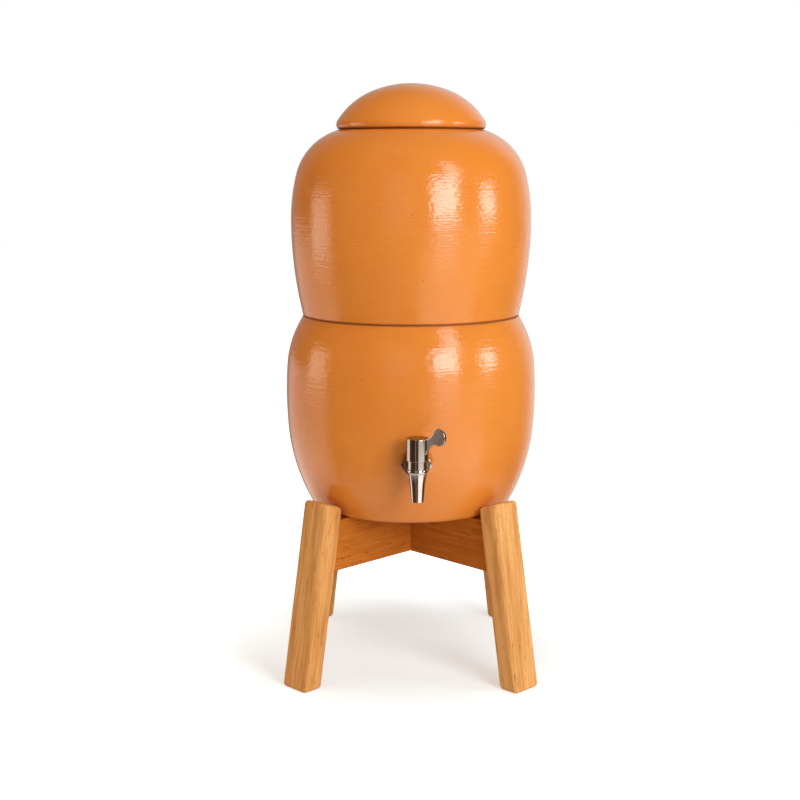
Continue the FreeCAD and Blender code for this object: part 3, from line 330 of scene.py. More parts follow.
def oiledWood(name, fromAttribute, pith, ringWidth, tint=None):
    material, tree, surface = newMaterial(name, Specular_IOR_Level=0.02)
    place, piece = objectPlace(tree), 3.0
    if fromAttribute:
        place = addAttribute(tree, "grainPlace", "Vector")
        piece = addAttribute(tree, "pieceNumber")
    made = useGroup(tree, woodGrain, {
        "Place": place, "Piece": piece, "Pith": pith, "Ring Width": ringWidth})
    colour = wood["early"]
    for amount, tone in (
            (times(tree, made["Rings"], wood["ringDark"]), "late"),
            (addRange(tree, made["Fibres"], *wood["fibreRange"], 0.0, wood["fibreDark"]), "fibre"),
            (addRange(tree, made["Tone"], *wood["toneRange"], 0.0, wood["toneDark"]), "late"),
            (times(tree, made["Flecks"], wood["fleckDark"]), "late"),
            (times(tree, made["Pores"], wood["poreDark"]), "pore")):
        colour = addMix(tree, amount, colour, wood[tone])
    # each board has darkened differently
    age = minus(tree, 1.0, addMath(tree, "FRACT", times(tree, piece, wood["ageStep"])))
    colour = addMix(tree, age, colour, wood["aged"], "MULTIPLY")
    # for the rails the tint is partly a darker stain and partly painted shade under the pot
    if tint:
        colour = addMix(tree, 1.0, colour, tint, "MULTIPLY")
    connect(tree, surface, {
        "Base Color": colour,
        "Roughness": addRange(tree, made["Fibres"], *midRange, *wood["rough"]),
        "Normal": addBump(tree, made["Height"], wood["relief"])})
    return material


nickelLook = {
    "colours": ((0.69, 0.655, 0.610, 1), (0.60, 0.562, 0.520, 1)),
    "edgeTint": (0.62, 0.52, 0.44, 1),
    "grainScale": 260.0, "smudgeRange": (0.35, 0.7), "rough": (0.03, 0.08), "relief": 0.000025,
}


def polishedNickel():
    look = nickelLook
    material, tree, surface = newMaterial("polishedNickel", Metallic=1.0,
                                          Specular_Tint=look["edgeTint"])
    made = useGroup(tree, fineGrit, {"Place": objectPlace(tree), "Grain Scale": look["grainScale"]})
    connect(tree, surface, {
        "Base Color": addMix(tree, made["Smudge"], *look["colours"]),
        "Roughness": addRange(tree, made["Smudge"], *look["smudgeRange"], *look["rough"]),
        "Normal": addBump(tree, made["Height"], look["relief"])})
    return material


brassLook = {
    "colours": ((0.72, 0.52, 0.24, 1), (0.55, 0.36, 0.14, 1)), "grainScale": 900.0,
    "cuts": (1.0, (30, 30, 5200), 2.0, 0.5), "rough": (0.22, 0.4), "relief": 0.00004,
}


def turnedBrass():
    look = brassLook
    material, tree, surface = newMaterial("turnedBrass", Metallic=1.0)
    place = objectPlace(tree)
    made = useGroup(tree, fineGrit, {"Place": place, "Grain Scale": look["grainScale"]})
    cuts = addNoise(tree, place, look["cuts"])
    connect(tree, surface, {
        "Base Color": addMix(tree, made["Smudge"], *look["colours"]),
        "Roughness": addRange(tree, cuts, *midRange, *look["rough"]),
        "Normal": addBump(tree, cuts, look["relief"])})
    return material


moulded = {
    # name: pale and dark colour, grain scale, relief, roughness
    "blackRubber": ((0.032, 0.031, 0.030, 1), (0.022, 0.022, 0.022, 1), 1400.0, 0.00005,
                    (0.55, 0.75)),
    "whitePlastic": ((0.80, 0.80, 0.78, 1), (0.74, 0.74, 0.71, 1), 1100.0, 0.00002, (0.28, 0.42)),
    "filterCeramic": ((0.84, 0.82, 0.76, 1), (0.77, 0.74, 0.67, 1), 2200.0, 0.00012, (0.8, 0.95)),
}


def mouldedPiece(name, pale, dark, grainScale, relief, rough):
    # rubber, plastic and pressed ceramic: one colour that the mould and handling vary slightly
    material, tree, surface = newMaterial(name)
    made = useGroup(tree, fineGrit, {"Place": objectPlace(tree), "Grain Scale": grainScale})
    connect(tree, surface, {
        "Base Color": addMix(tree, addRange(tree, made["Smudge"], *midRange), pale, dark),
        "Roughness": addRange(tree, made["Height"], *midRange, *rough),
        "Normal": addBump(tree, made["Height"], relief)})
    return material


clayMaterial = waxedClay()
# the pith beside the board and the rings' width, in metres
legWood = oiledWood("legWood", True, (0.110, 0.060, 0), 0.0026)
railWood = oiledWood("railWood", True, (-0.030, 0.150, 0), 0.0030, wood["railStainAndShade"])
dowelWood = oiledWood("dowelWood", False, (0.2, 0.1, 0), 0.003)
nickel = polishedNickel()
brass = turnedBrass()
blackRubber, whitePlastic, filterCeramic = [
    mouldedPiece(name, *look) for name, look in moulded.items()]
print("materials made:", len(bpy.data.materials))


# mesh helpers

def arcPoints(centre, start, end, step):
    # points from start to end round centre by the shorter way, without the first one
    first = math.atan2(start.y - centre.y, start.x - centre.x)
    sweep = math.atan2(end.y - centre.y, end.x - centre.x) - first
    sweep = (sweep + math.pi) % (2 * math.pi) - math.pi
    radius = (start - centre).length
    count = max(2, math.ceil(abs(sweep) * radius / step))
    angles = [first + sweep * i / count for i in range(1, count)]
    return [centre + Vector((math.cos(angle), math.sin(angle))) * radius
            for angle in angles] + [end.copy()]


def linePoints(start, end, step):
    count = max(1, math.ceil((end - start).length / step))
    return [start.lerp(end, i / count) for i in range(1, count + 1)]


def softenCorner(points, corner, radius, steps=5):
    # replaces a sharp corner of an open outline by a small round one
    index = min(range(len(points)), key=lambda i: (points[i] - corner).length)
    before, after = index - 1, index + 1
    back = (points[before] - points[index]).normalized()
    ahead = (points[after] - points[index]).normalized()
    reach = radius * math.tan((math.pi - back.angle(ahead)) / 2)
    while before > 0 and (points[before] - corner).length < reach:
        before -= 1
    while after < len(points) - 1 and (points[after] - corner).length < reach:
        after += 1
    start = corner + (points[before] - corner).normalized() * reach
    end = corner + (points[after] - corner).normalized() * reach
    arc = []
    for i in range(steps + 1):
        t = i / steps
        arc.append(start * (1 - t) ** 2 + corner * 2 * t * (1 - t) + end * t ** 2)
    return points[:before + 1] + arc + points[after:]


def addObject(name, mesh, material=None):
    made = bpy.data.objects.new(name, mesh)
    bpy.context.scene.collection.objects.link(made)
    if material:
        mesh.materials.clear()
        mesh.materials.append(material)
    return made


def bakeModifiers(made):
    # the evaluated object becomes a plain mesh and its modifiers go
    view = bpy.context.evaluated_depsgraph_get()
    view.update()
    mesh = bpy.data.meshes.new_from_object(made.evaluated_get(view),
                                           preserve_all_data_layers=True, depsgraph=view)
    old = made.data
    made.modifiers.clear()
    made.data = mesh
    mesh.name = made.name
    bpy.data.meshes.remove(old)


def markSharp(mesh, degrees):
    form = bmesh.new()
    form.from_mesh(mesh)
    for face in form.faces:
        face.smooth = True
    for edge in form.edges:
        edge.smooth = len(edge.link_faces) != 2 or edge.calc_face_angle(0) < math.radians(degrees)
    form.to_mesh(mesh)
    form.free()


flatFaceWeight = 80


def weightNormals(made):
    # flat faces keep their own normals and the small round ones between them take the turn
    weighted = made.modifiers.new("weighted", "WEIGHTED_NORMAL")
    weighted.keep_sharp = True
    weighted.weight = flatFaceWeight
    bakeModifiers(made)


def addSharpPiece(name, mesh, place, degrees, material):
    markSharp(mesh, degrees)
    mesh.transform(place)
    made = addObject(name, mesh, material)
    weightNormals(made)
    return made


def roundEdges(form, edges, radius, segments):
    bmesh.ops.bevel(form, geom=edges, offset=radius, segments=segments, profile=0.5, affect="EDGES")


def bridgeRings(form, rings):
    # skins a closed row of rings, of which a ring on the axis may be a single point
    steps = max(len(ring) for ring in rings)
    for low, high in zip(rings, rings[1:] + rings[:1]):
        for i in range(steps):
            j = (i + 1) % steps
            corners = [low[i % len(low)], low[j % len(low)],
                       high[j % len(high)], high[i % len(high)]]
            corners = list(dict.fromkeys(corners))
            if len(corners) > 2:
                form.faces.new(corners)


def spinSection(form, points, steps, place=None):
    # turns a closed outline of (radius, height) points round Z
    rings = []
    for radius, height in points:
        angles = [2 * math.pi * i / steps for i in range(steps if radius > 1e-7 else 1)]
        rings.append([form.verts.new((radius * math.cos(angle), radius * math.sin(angle), height))
                      for angle in angles])
    bridgeRings(form, rings)
    if place:
        bmesh.ops.transform(form, matrix=place, verts=[vert for ring in rings for vert in ring])


def extrudeOutline(form, points, thickness):
    # a plate of that outline in XZ, centred on Y = 0
    front = [form.verts.new((x, -thickness / 2, z)) for x, z in points]
    back = [form.verts.new((x, thickness / 2, z)) for x, z in points]
    form.faces.new(front)
    form.faces.new(reversed(back))
    for i in range(len(points)):
        j = (i + 1) % len(points)
        form.faces.new((front[j], front[i], back[i], back[j]))
    bmesh.ops.recalc_face_normals(form, faces=form.faces)


def finishForm(form, name):
    bmesh.ops.recalc_face_normals(form, faces=form.faces)
    mesh = bpy.data.meshes.new(name)
    form.to_mesh(mesh)
    form.free()
    return mesh


def addStep(tree, geometry, kind, inputs=None, **settings):
    # one more geometry node on the way to the result
    inputs = {"Geometry": geometry, **(inputs or {})}
    return addNode(tree, "GeometryNode" + kind, inputs, **settings).outputs[0]


def newGeometryGroup(name, inputs):
    inputs = {"Geometry": "Geometry", **inputs, "Axis": "Vector", "Material": "Material"}
    return newGroup(name, "GeometryNodeTree", inputs, {"Geometry": "Geometry"})


def addTreeModifier(made, tree, values):
    modifier = made.modifiers.new(tree.name, "NODES")
    modifier.node_group = tree
    for item in tree.interface.items_tree:
        if item.item_type == "SOCKET" and item.in_out == "INPUT" and item.name in values:
            modifier[item.identifier] = values[item.name]


# pots and lid: one tree turns a half section round the axis and adds the potter's unevenness

wheelRadius = 0.001
mergeReach = 0.000004
swayNoise = (14.0, None, 3.0, 0.5)


def makeThrowTree():
    tree, given, result = newGeometryGroup("throwOnWheel", {
        "Steps": "Int", "Sway Depth": "Float", "Ridge Depth": "Float", "Ridge Pitch": "Float",
        "Seed": "Float"})
    section = addNode(tree, "GeometryNodeMeshToCurve", {"Mesh": given["Geometry"]})
    # the section stands on a small round path
    wheel = addNode(tree, "GeometryNodeCurvePrimitiveCircle", {
        "Resolution": given["Steps"], "Radius": wheelRadius})
    skin = addNode(tree, "GeometryNodeCurveToMesh", {
        "Curve": wheel.outputs["Curve"], "Profile Curve": section.outputs["Curve"]})
    shape = addStep(tree, skin.outputs["Mesh"], "MergeByDistance", {"Distance": mergeReach})
    position = addNode(tree, "GeometryNodeInputPosition").outputs[0]
    apart = addNode(tree, "ShaderNodeSeparateXYZ", {0: position}).outputs
    angle = addMath(tree, "ARCTAN2", apart[1], apart[0])
    sway = addNoise(tree, position, swayNoise, given["Seed"])
    # the fingers' ridges climb in a spiral, one turn for each pitch
    turns = minus(tree, addMath(tree, "DIVIDE", apart[2], given["Ridge Pitch"]),
                  addMath(tree, "DIVIDE", angle, 2 * math.pi))
    ridge = minus(tree, addMath(tree, "SINE", times(tree, turns, 2 * math.pi)), 1.0)
    depth = minus(tree, times(tree, ridge, given["Ridge Depth"]),
                  times(tree, sway, given["Sway Depth"]))
    trued = addNode(tree, "GeometryNodeInputNamedAttribute", {"Name": "trued"}, data_type="FLOAT")
    depth = times(tree, depth, minus(tree, 1.0, trued.outputs["Attribute"]))
    normal = addNode(tree, "GeometryNodeInputNormal").outputs[0]
    offset = addNode(tree, "ShaderNodeVectorMath", {0: normal, "Scale": depth}, operation="SCALE")
    shape = addStep(tree, shape, "SetPosition", {"Offset": offset.outputs[0]})
    shape = addStep(tree, shape, "Transform", {"Translation": given["Axis"]})
    shape = addStep(tree, shape, "SetShadeSmooth")
    shape = addStep(tree, shape, "RealizeInstances")
    shape = addStep(tree, shape, "SetMaterial", {"Material": given["Material"]})
    tree.links.new(shape, result["Geometry"])
    return tree


throwOnWheel = makeThrowTree()


def throwPiece(name, section, pot):
    # section: (radius, height, bare, trued, painted seam shade) points with the clay on the right
    # of the way; a path's frame hangs them upside down, so their heights go in negative
    mesh = bpy.data.meshes.new(name)
    mesh.from_pydata([(point[0] - wheelRadius, -point[1], 0) for point in section],
                     [(i, i + 1) for i in range(len(section) - 1)], [])
    for column, label in enumerate(("bare", "trued", "seamShade"), 2):
        layer = mesh.attributes.new(label, "FLOAT", "POINT")
        layer.data.foreach_set("value", [point[column] for point in section])
    made = addObject(name, mesh)
    addTreeModifier(made, throwOnWheel, {
        "Steps": pot["steps"], "Sway Depth": pot["sway"], "Ridge Depth": pot["ridge"],
        "Ridge Pitch": pot["pitch"], "Seed": pot["seed"], "Axis": (0, axisY, 0),
        "Material": clayMaterial})
    bakeModifiers(made)
    form = bmesh.new()
    form.from_mesh(made.data)
    bmesh.ops.recalc_face_normals(form, faces=form.faces)
    form.to_mesh(made.data)
    form.free()
    made.data.polygons.foreach_set("use_smooth", [True] * len(made.data.polygons))
    return made


# the steps in which sections are drawn, where painted shade darkens their seams, and where their
# clay is kept true
lipStep, insideStep, floorStep = 0.003, 0.004, 0.008
seamShadeFade = (0.0006, 0.0021)
potTrued, lidTrued = (0.002, 0.008), (0.001, 0.006)
bareLip = 0.004


def meetingHeight(centre, radius, height):
    rise = height - centre.y
    return centre + Vector((math.sqrt(radius ** 2 - rise ** 2), rise))


def touchingCentre(point, centre, target):
    # centre of the circle that runs on from point about the same side and meets target
    inward = (centre - point).normalized()
    way = target - point
    return point + inward * (way.length_squared / (2 * way.dot(inward)))


def potArcs(pot):
    # the four round stretches of a pot's outside, from the base to the mouth, and where they meet
    base = Vector((pot["base"], pot["bottom"]))
    belly = Vector((pot["belly"], pot["bottom"] + pot["bellyRise"]))
    mouth = Vector((pot["mouth"], pot["top"]))
    foot = belly - Vector((pot["footCurve"], 0))
    shoulder = belly - Vector((pot["shoulderCurve"], 0))
    footMeet = meetingHeight(foot, pot["footCurve"], belly.y - pot["footDrop"])
    shoulderMeet = meetingHeight(shoulder, pot["shoulderCurve"], belly.y + pot["shoulderClimb"])
    centres = [touchingCentre(footMeet, foot, base), foot, shoulder,
               touchingCentre(shoulderMeet, shoulder, mouth)]
    return centres, [base, footMeet, belly, shoulderMeet, mouth]


def potSection(pot, under):
    centres, meets = potArcs(pot)
    outside = []
    for i in range(4):
        outside += arcPoints(centres[i], meets[i], meets[i + 1], pot["fineStep"])
    inner = [point + (centres[i] - point).normalized() * pot["wall"]
             for point, i in zip(meets, (0, 1, 1, 2, 3))]
    inner[0] = meetingHeight(centres[0], (inner[1] - centres[0]).length, pot["floor"])
    reach = pot["opening"] - centres[3].x
    rise = math.sqrt((inner[3] - centres[3]).length_squared - reach ** 2)
    inner[4] = centres[3] + Vector((reach, rise))
    lip = Vector((pot["opening"], pot["top"]))
    points = under + outside
    points += linePoints(meets[4], lip, lipStep) + linePoints(lip, inner[4], lipStep)
    for i in (3, 2, 1, 0):
        points += arcPoints(centres[i], inner[i + 1], inner[i], insideStep)
    points += linePoints(inner[0], Vector((0, inner[0].y)), floorStep)
    points = softenCorner(points, inner[0], pot["insideRound"])
    points = softenCorner(points, lip, pot["lipRound"])
    return softenCorner(points, meets[4], pot["edgeRound"])


def fadeOut(distance, start, end):
    return 1 - min(1.0, max(0.0, (distance - start) / (end - start)))


def seamShadeAt(point, radius, height):
    # how much painted shade darkens the clay beside a seam whose edge is at that radius and height
    return fadeOut(abs(point.y - height), *seamShadeFade) if point.x > radius - seamShadeFade[1] else 0.0


def markSection(points, pot, seams):
    # from the lip inwards the clay is bare, it is kept true where pieces seat on each other, and
    # the clay beside the seams between them gets painted shade; seams: (radius, height) of their
    # edges
    firstBare = next(i for i, point in enumerate(points)
                     if point.y > pot["top"] - 1e-6 and point.x < pot["opening"] + bareLip)
    section = []
    for index, point in enumerate(points):
        edge = min(abs(point.y - pot["top"]), abs(point.y - pot["bottom"]))
        dark = max(seamShadeAt(point, radius, height) for radius, height in seams)
        section.append((max(point.x, 0.0), point.y, 1.0 if index >= firstBare else 0.0,
                        fadeOut(edge, *potTrued), dark))
    return section[::-1]


lowerPot = {
    "bottom": 0.171, "top": 0.3738, "floor": 0.183,
    "base": 0.1046, "belly": 0.1325, "mouth": 0.113, "opening": 0.104,
    "bellyRise": 0.1195, "footCurve": 0.440, "footDrop": 0.0363,
    "shoulderCurve": 0.436, "shoulderClimb": 0.0304,
    "wall": 0.009, "baseRound": 0.010, "edgeRound": 0.0015, "lipRound": 0.0012,
    "insideRound": 0.009, "fineStep": 0.0016,
    "steps": 288, "sway": 0.00045, "ridge": 0.000014, "pitch": 0.0046, "seed": 2.7,
    "seatRadius": 0.015, "seatFront": 0.024, "seatBack": 0.033, "seatReach": 0.06,
    "shankHole": 0.0085, "holeMiddle": 0.028, "holeLength": 0.04, "holeSteps": 64,
}


def makeLowerPot():
    pot = lowerPot
    base, middle = Vector((pot["base"], pot["bottom"])), Vector((0, pot["bottom"]))
    points = potSection(pot, [middle] + linePoints(middle, base, floorStep))
    points = softenCorner(points, base, pot["baseRound"], 8)
    # the clay beside the mouth's seam gets painted shade
    made = throwPiece("lowerPot", markSection(points, pot, [(pot["mouth"], pot["top"])]), pot)
    pressSeat(made.data)
    drillShankHole(made)
    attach(made, "lower_tank")
    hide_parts("lower_pot")


def pressSeat(mesh):
    # a flat for the tap's washers on both sides of the wall
    pot = lowerPot
    toTap = tapPlace.inverted()
    for vertex in mesh.vertices:
        local = toTap @ vertex.co
        across = math.hypot(local.x, local.z)
        if across > pot["seatRadius"] or local.y > pot["seatReach"]:
            continue
        inside = local.y > (pot["seatFront"] + pot["seatBack"]) / 2
        local.y = pot["seatBack"] if inside else pot["seatFront"]
        vertex.co = tapPlace @ local
    mesh.update()


def drillShankHole(made):
    pot = lowerPot
    form = bmesh.new()
    along = (tapPlace @ Matrix.Translation((0, pot["holeMiddle"], 0))
             @ Matrix.Rotation(math.pi / 2, 4, "X"))
    bmesh.ops.create_cone(form, cap_ends=True, segments=pot["holeSteps"], radius1=pot["shankHole"],
                          radius2=pot["shankHole"], depth=pot["holeLength"], matrix=along)
    drill = addObject("drill", finishForm(form, "drill"))
    cut = made.modifiers.new("cut", "BOOLEAN")
    cut.operation = "DIFFERENCE"
    cut.solver = "EXACT"
    cut.object = drill
    bakeModifiers(made)
    mesh = drill.data
    bpy.data.objects.remove(drill)
    bpy.data.meshes.remove(mesh)
    made.data.materials.clear()
    made.data.materials.append(clayMaterial)
    for face in made.data.polygons:
        face.material_index = 0


upperPot = {
    "bottom": 0.3738, "top": 0.5653, "floor": 0.3778,
    "base": 0.1143, "belly": 0.1258, "mouth": 0.072, "opening": 0.064,
    "bellyRise": 0.0982, "footCurve": 0.440, "footDrop": 0.030,
    "shoulderCurve": 0.1934, "shoulderClimb": 0.0474,
    "wall": 0.009, "edgeRound": 0.0015, "lipRound": 0.0012,
    "insideRound": 0.003, "fineStep": 0.0016,
    "spigot": 0.1024, "spigotBottom": 0.3658, "stemHole": 0.0065,
    "steps": 288, "sway": 0.00045, "ridge": 0.000014, "pitch": 0.0042, "seed": 8.1,
}


def makeUpperPot():
    pot = upperPot
    hole = Vector((pot["stemHole"], pot["spigotBottom"]))
    spigotEdge = Vector((pot["spigot"], pot["spigotBottom"]))
    spigotRoot = Vector((pot["spigot"], pot["bottom"]))
    base = Vector((pot["base"], pot["bottom"]))
    under = [hole] + linePoints(hole, spigotEdge, floorStep)
    under += linePoints(spigotEdge, spigotRoot, insideStep)
    under += linePoints(spigotRoot, base, insideStep)
    points = potSection(pot, under)
    points = softenCorner(points, base, pot["edgeRound"])
    points = softenCorner(points, spigotEdge, pot["edgeRound"])
    # the floor ends at the hole for the candle's stem
    points = [p for p in points if not (p.y > pot["floor"] - 1e-6 and p.x < pot["stemHole"] - 1e-6)]
    points += [Vector((pot["stemHole"], pot["floor"])), hole.copy()]
    # the clay beside these seams gets painted shade
    seams = [(pot["base"], pot["bottom"]), (pot["mouth"], pot["top"])]
    made = throwPiece("upperPot", markSection(points, pot, seams), pot)
    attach(made, "upper_tank")
    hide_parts("upper_pot")


lid = {
    "bottom": 0.5653, "top": 0.6121, "edge": 0.0756, "rimRound": 0.0066, "rimRise": 0.0049,
    "crown": 0.1075, "crownReach": 0.0408, "wall": 0.008, "gallery": 0.5728,
    "ringOutside": 0.0624, "ringInside": 0.0574, "ringBottom": 0.5573, "ringRound": 0.001,
    "crownStep": 0.0015, "shoulderStep": 0.0012, "rimStep": 0.0008,
    "steps": 224, "sway": 0.0003, "ridge": 0.000012, "pitch": 0.0038, "seed": 5.3,
}


def makeLid():
    edge = Vector((lid["edge"], lid["bottom"]))
    apex = Vector((0, lid["top"]))
    rim = edge + Vector((-math.sqrt(lid["rimRound"] ** 2 - lid["rimRise"] ** 2), lid["rimRise"]))
    crown = apex - Vector((0, lid["crown"]))
    reach = lid["crownReach"]
    high = crown + Vector((reach, math.sqrt(lid["crown"] ** 2 - reach ** 2)))
    inward = (crown - high).normalized()
    way = rim - high
    shoulder = high + inward * ((way.length_squared - lid["rimRound"] ** 2) / 2
                                / (way.dot(inward) - lid["rimRound"]))
    low = rim + (rim - shoulder).normalized() * lid["rimRound"]
    innerHigh = high + inward * lid["wall"]
    innerLow = meetingHeight(shoulder, (innerHigh - shoulder).length, lid["gallery"])
    innerApex = apex - Vector((0, lid["wall"]))
    ring = [Vector((lid[radius], lid[height])) for radius, height in (
        ("ringOutside", "bottom"), ("ringOutside", "ringBottom"),
        ("ringInside", "ringBottom"), ("ringInside", "bottom"))]
    # from the crown's outside down over the rim and under it to the crown's inside
    points = [apex] + arcPoints(crown, apex, high, lid["crownStep"])
    points += arcPoints(shoulder, high, low, lid["shoulderStep"])
    points += arcPoints(rim, low, edge, lid["rimStep"])
    firstBare = len(points)
    points += linePoints(edge, ring[0], lipStep)
    for start, end in zip(ring, ring[1:] + [innerLow]):
        points += linePoints(start, end, insideStep)
    points += arcPoints(shoulder, innerLow, innerHigh, lipStep)
    points += arcPoints(crown, innerHigh, innerApex, lipStep)
    for corner in (ring[2], ring[1]):
        points = softenCorner(points, corner, lid["ringRound"], 3)
    # the last column is painted shade beside the seam under the rim
    section = []
    for index, point in enumerate(points):
        section.append((max(point.x, 0.0), point.y, 1.0 if index > firstBare + 1 else 0.0,
                        fadeOut(abs(point.y - lid["bottom"]), *lidTrued),
                        seamShadeAt(point, lid["edge"], lid["bottom"])))
    made = throwPiece("lid", section, lid)
    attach(made, "cover")
    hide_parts("lid")


makeLowerPot()
makeUpperPot()
makeLid()
print("pots and lid thrown")


# stand: one leg is shaped, and a tree sets four of them round the axis

leg = {
    "insideFloor": 0.145578, "splay": math.radians(9.65), "depth": 0.0243, "width": 0.0355,
    "top": 0.1922, "topInside": 0.1848, "round": 0.0046, "footRound": 0.0040,
    "footHeight": 0.0002, "footAngle": 0.6, "sharp": 60,
}


def legInside(height):
    return leg["insideFloor"] - height * math.tan(leg["splay"])


def makeLegTree():
    tree, given, result = newGeometryGroup("ringOfLegs", {"Count": "Int", "First Angle": "Float"})
    places = addNode(tree, "GeometryNodeMeshLine", {"Count": given["Count"], "Offset": (0, 0, 0)},
                     mode="OFFSET").outputs[0]
    index = addNode(tree, "GeometryNodeInputIndex").outputs[0]
    step = addMath(tree, "DIVIDE", 2 * math.pi, given["Count"])
    angle = plus(tree, given["First Angle"], times(tree, index, step))
    turn = addNode(tree, "ShaderNodeCombineXYZ", {"Z": angle}).outputs[0]
    numbered = addStep(tree, places, "StoreNamedAttribute", {
        "Name": "pieceNumber", "Value": plus(tree, index, 1.0)}, data_type="FLOAT", domain="POINT")
    legs = addNode(tree, "GeometryNodeInstanceOnPoints", {
        "Points": numbered, "Instance": given["Geometry"], "Rotation": turn}).outputs[0]
    shape = addNode(tree, "GeometryNodeTranslateInstances", {
        "Instances": legs, "Translation": given["Axis"], "Local Space": False}).outputs[0]
    shape = addStep(tree, shape, "RealizeInstances")
    shape = addStep(tree, shape, "SetMaterial", {"Material": given["Material"]})
    tree.links.new(shape, result["Geometry"])
    return tree


def storeGrain(mesh, toBoard):
    # where each point lies in its board, with the fibres along Z
    layer = mesh.attributes.new("grainPlace", "FLOAT_VECTOR", "POINT")
    layer.data.foreach_set("vector", [c for vertex in mesh.vertices for c in toBoard @ vertex.co])


def makeLegs():
    form = bmesh.new()
    corners = [(legInside(0), 0), (legInside(0) + leg["depth"], 0),
               (legInside(leg["top"]) + leg["depth"], leg["top"]),
               (legInside(leg["topInside"]), leg["topInside"])]
    extrudeOutline(form, corners, leg["width"])
    others = [edge for edge in form.edges if max(v.co.z for v in edge.verts) > leg["footHeight"]]
    roundEdges(form, others, leg["round"], 5)
    feet = [edge for edge in form.edges if max(v.co.z for v in edge.verts) < leg["footHeight"]
            and len(edge.link_faces) == 2 and edge.calc_face_angle(0) > leg["footAngle"]]
    roundEdges(form, feet, leg["footRound"], 3)
    mesh = finishForm(form, "legs")
    # along the leg: lean the board upright and centre it
    lean = Matrix.Rotation(leg["splay"], 4, "Y")
    storeGrain(mesh, lean @ Matrix.Translation((-legInside(0) - leg["depth"] / 2, 0, 0)))
    markSharp(mesh, leg["sharp"])
    made = addObject("legs", mesh)
    addTreeModifier(made, makeLegTree(), {"Count": 4, "First Angle": math.radians(45),
                                          "Axis": (0, axisY, 0), "Material": legWood})
    bakeModifiers(made)
    weightNormals(made)
    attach(made, "stand")
    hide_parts("leg_rear_right", "leg_rear_left", "leg_front_left", "leg_front_right")


rail = {
    "bottom": 0.118, "top": 0.171, "thickness": 0.024, "round": 0.0012, "lap": 0.0002,
    "longEdge": 0.05, "sharp": 40,
}


def makeRail(name, node, turn, number, notchUp):
    middle = (rail["bottom"] + rail["top"]) / 2
    half = (rail["thickness"] + rail["lap"]) / 2
    low, high = legInside(rail["bottom"]), legInside(rail["top"])
    bottom, top = rail["bottom"], rail["top"]
    if notchUp:
        shelf = middle - rail["lap"] / 2
        corners = [(-low, bottom), (low, bottom), (high, top), (half, top), (half, shelf),
                   (-half, shelf), (-half, top), (-high, top)]
    else:
        shelf = middle + rail["lap"] / 2
        corners = [(-low, bottom), (-half, bottom), (-half, shelf), (half, shelf), (half, bottom),
                   (low, bottom), (high, top), (-high, top)]
    form = bmesh.new()
    extrudeOutline(form, corners, rail["thickness"])
    longEdges = []
    for edge in form.edges:
        run, across, rise = (abs(c) for c in edge.verts[0].co - edge.verts[1].co)
        if across < 1e-6 and rise < 1e-6 and run > rail["longEdge"]:
            longEdges.append(edge)
    roundEdges(form, longEdges, rail["round"], 3)
    mesh = finishForm(form, name)
    storeGrain(mesh, Matrix.Rotation(math.pi / 2, 4, "Y") @ Matrix.Translation((0, 0, -middle)))
    layer = mesh.attributes.new("pieceNumber", "FLOAT", "POINT")
    layer.data.foreach_set("value", [number] * len(mesh.vertices))
    place = potAxis @ Matrix.Rotation(math.radians(turn), 4, "Z")
    made = addSharpPiece(name, mesh, place, rail["sharp"], railWood)
    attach(made, "stand")
    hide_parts(node)


makeLegs()
makeRail("railLower", "cross_rail_lower", 45, 6.4, True)
makeRail("railUpper", "cross_rail_upper", 135, 9.8, False)
print("stand joined")


# tap

tap = {
    "outletRadius": 0.0062, "outletDrop": 0.0324, "outletBore": 0.0042,
    "waistRadius": 0.0071, "waistDrop": 0.0217, "flare": 0.090,
    "barrel": 0.0097, "barrelDrop": 0.0036, "beadHeight": 0.0040, "beadRound": 0.0032,
    "collarTop": 0.0084, "boss": 0.0082, "bossHeight": 0.0056,
    "plugDrop": 0.0081, "plugBore": 0.0060, "bonnetBore": 0.00705, "bonnetDepth": 0.0064,
    "neck": 0.0070, "neckLength": 0.016, "flangeFlats": 0.0268, "flange": 0.005,
    "neckStart": 0.0078, "neckInFlange": 0.001,
    "nutRound": 0.0002, "nutCone": math.radians(30), "nutSteps": 72,
    "shank": 0.008, "shankBore": 0.003, "shankEnd": 0.046, "shankChamfer": 0.0015,
    "spoutStep": 0.002, "flareStep": 0.0008, "beadStep": 0.0004,
    "shankSteps": 96, "edge": 0.00035, "steps": 128, "sharp": 28,
}


def sideArc(start, end, side, radius, step):
    # an arc from start to end with its centre on that side of the way
    chord = end - start
    across = Vector((-chord.y, chord.x)).normalized() * (1 if side == "left" else -1)
    centre = (start + end) / 2 + across * math.sqrt(radius ** 2 - chord.length_squared / 4)
    return arcPoints(centre, start, end, step)


def hexagonBlock(form, flats, front, back, bore):
    # a nut's hexagon along Y with its corners turned to a cone on both faces
    half, steps = flats / 2, tap["nutSteps"]
    rings = [[] for _ in range(6)]
    for i in range(steps):
        angle = 2 * math.pi * i / steps
        out = half / math.cos(angle % (math.pi / 3) - math.pi / 6)
        drop = (out - half) * math.tan(tap["nutCone"]) + tap["nutRound"]
        outline = ((bore, front), (half - tap["nutRound"], front), (out, front + drop),
                   (out, back - drop), (half - tap["nutRound"], back), (bore, back))
        for ring, (reach, y) in zip(rings, outline):
            ring.append(form.verts.new((reach * math.cos(angle), y, reach * math.sin(angle))))
    bridgeRings(form, rings)


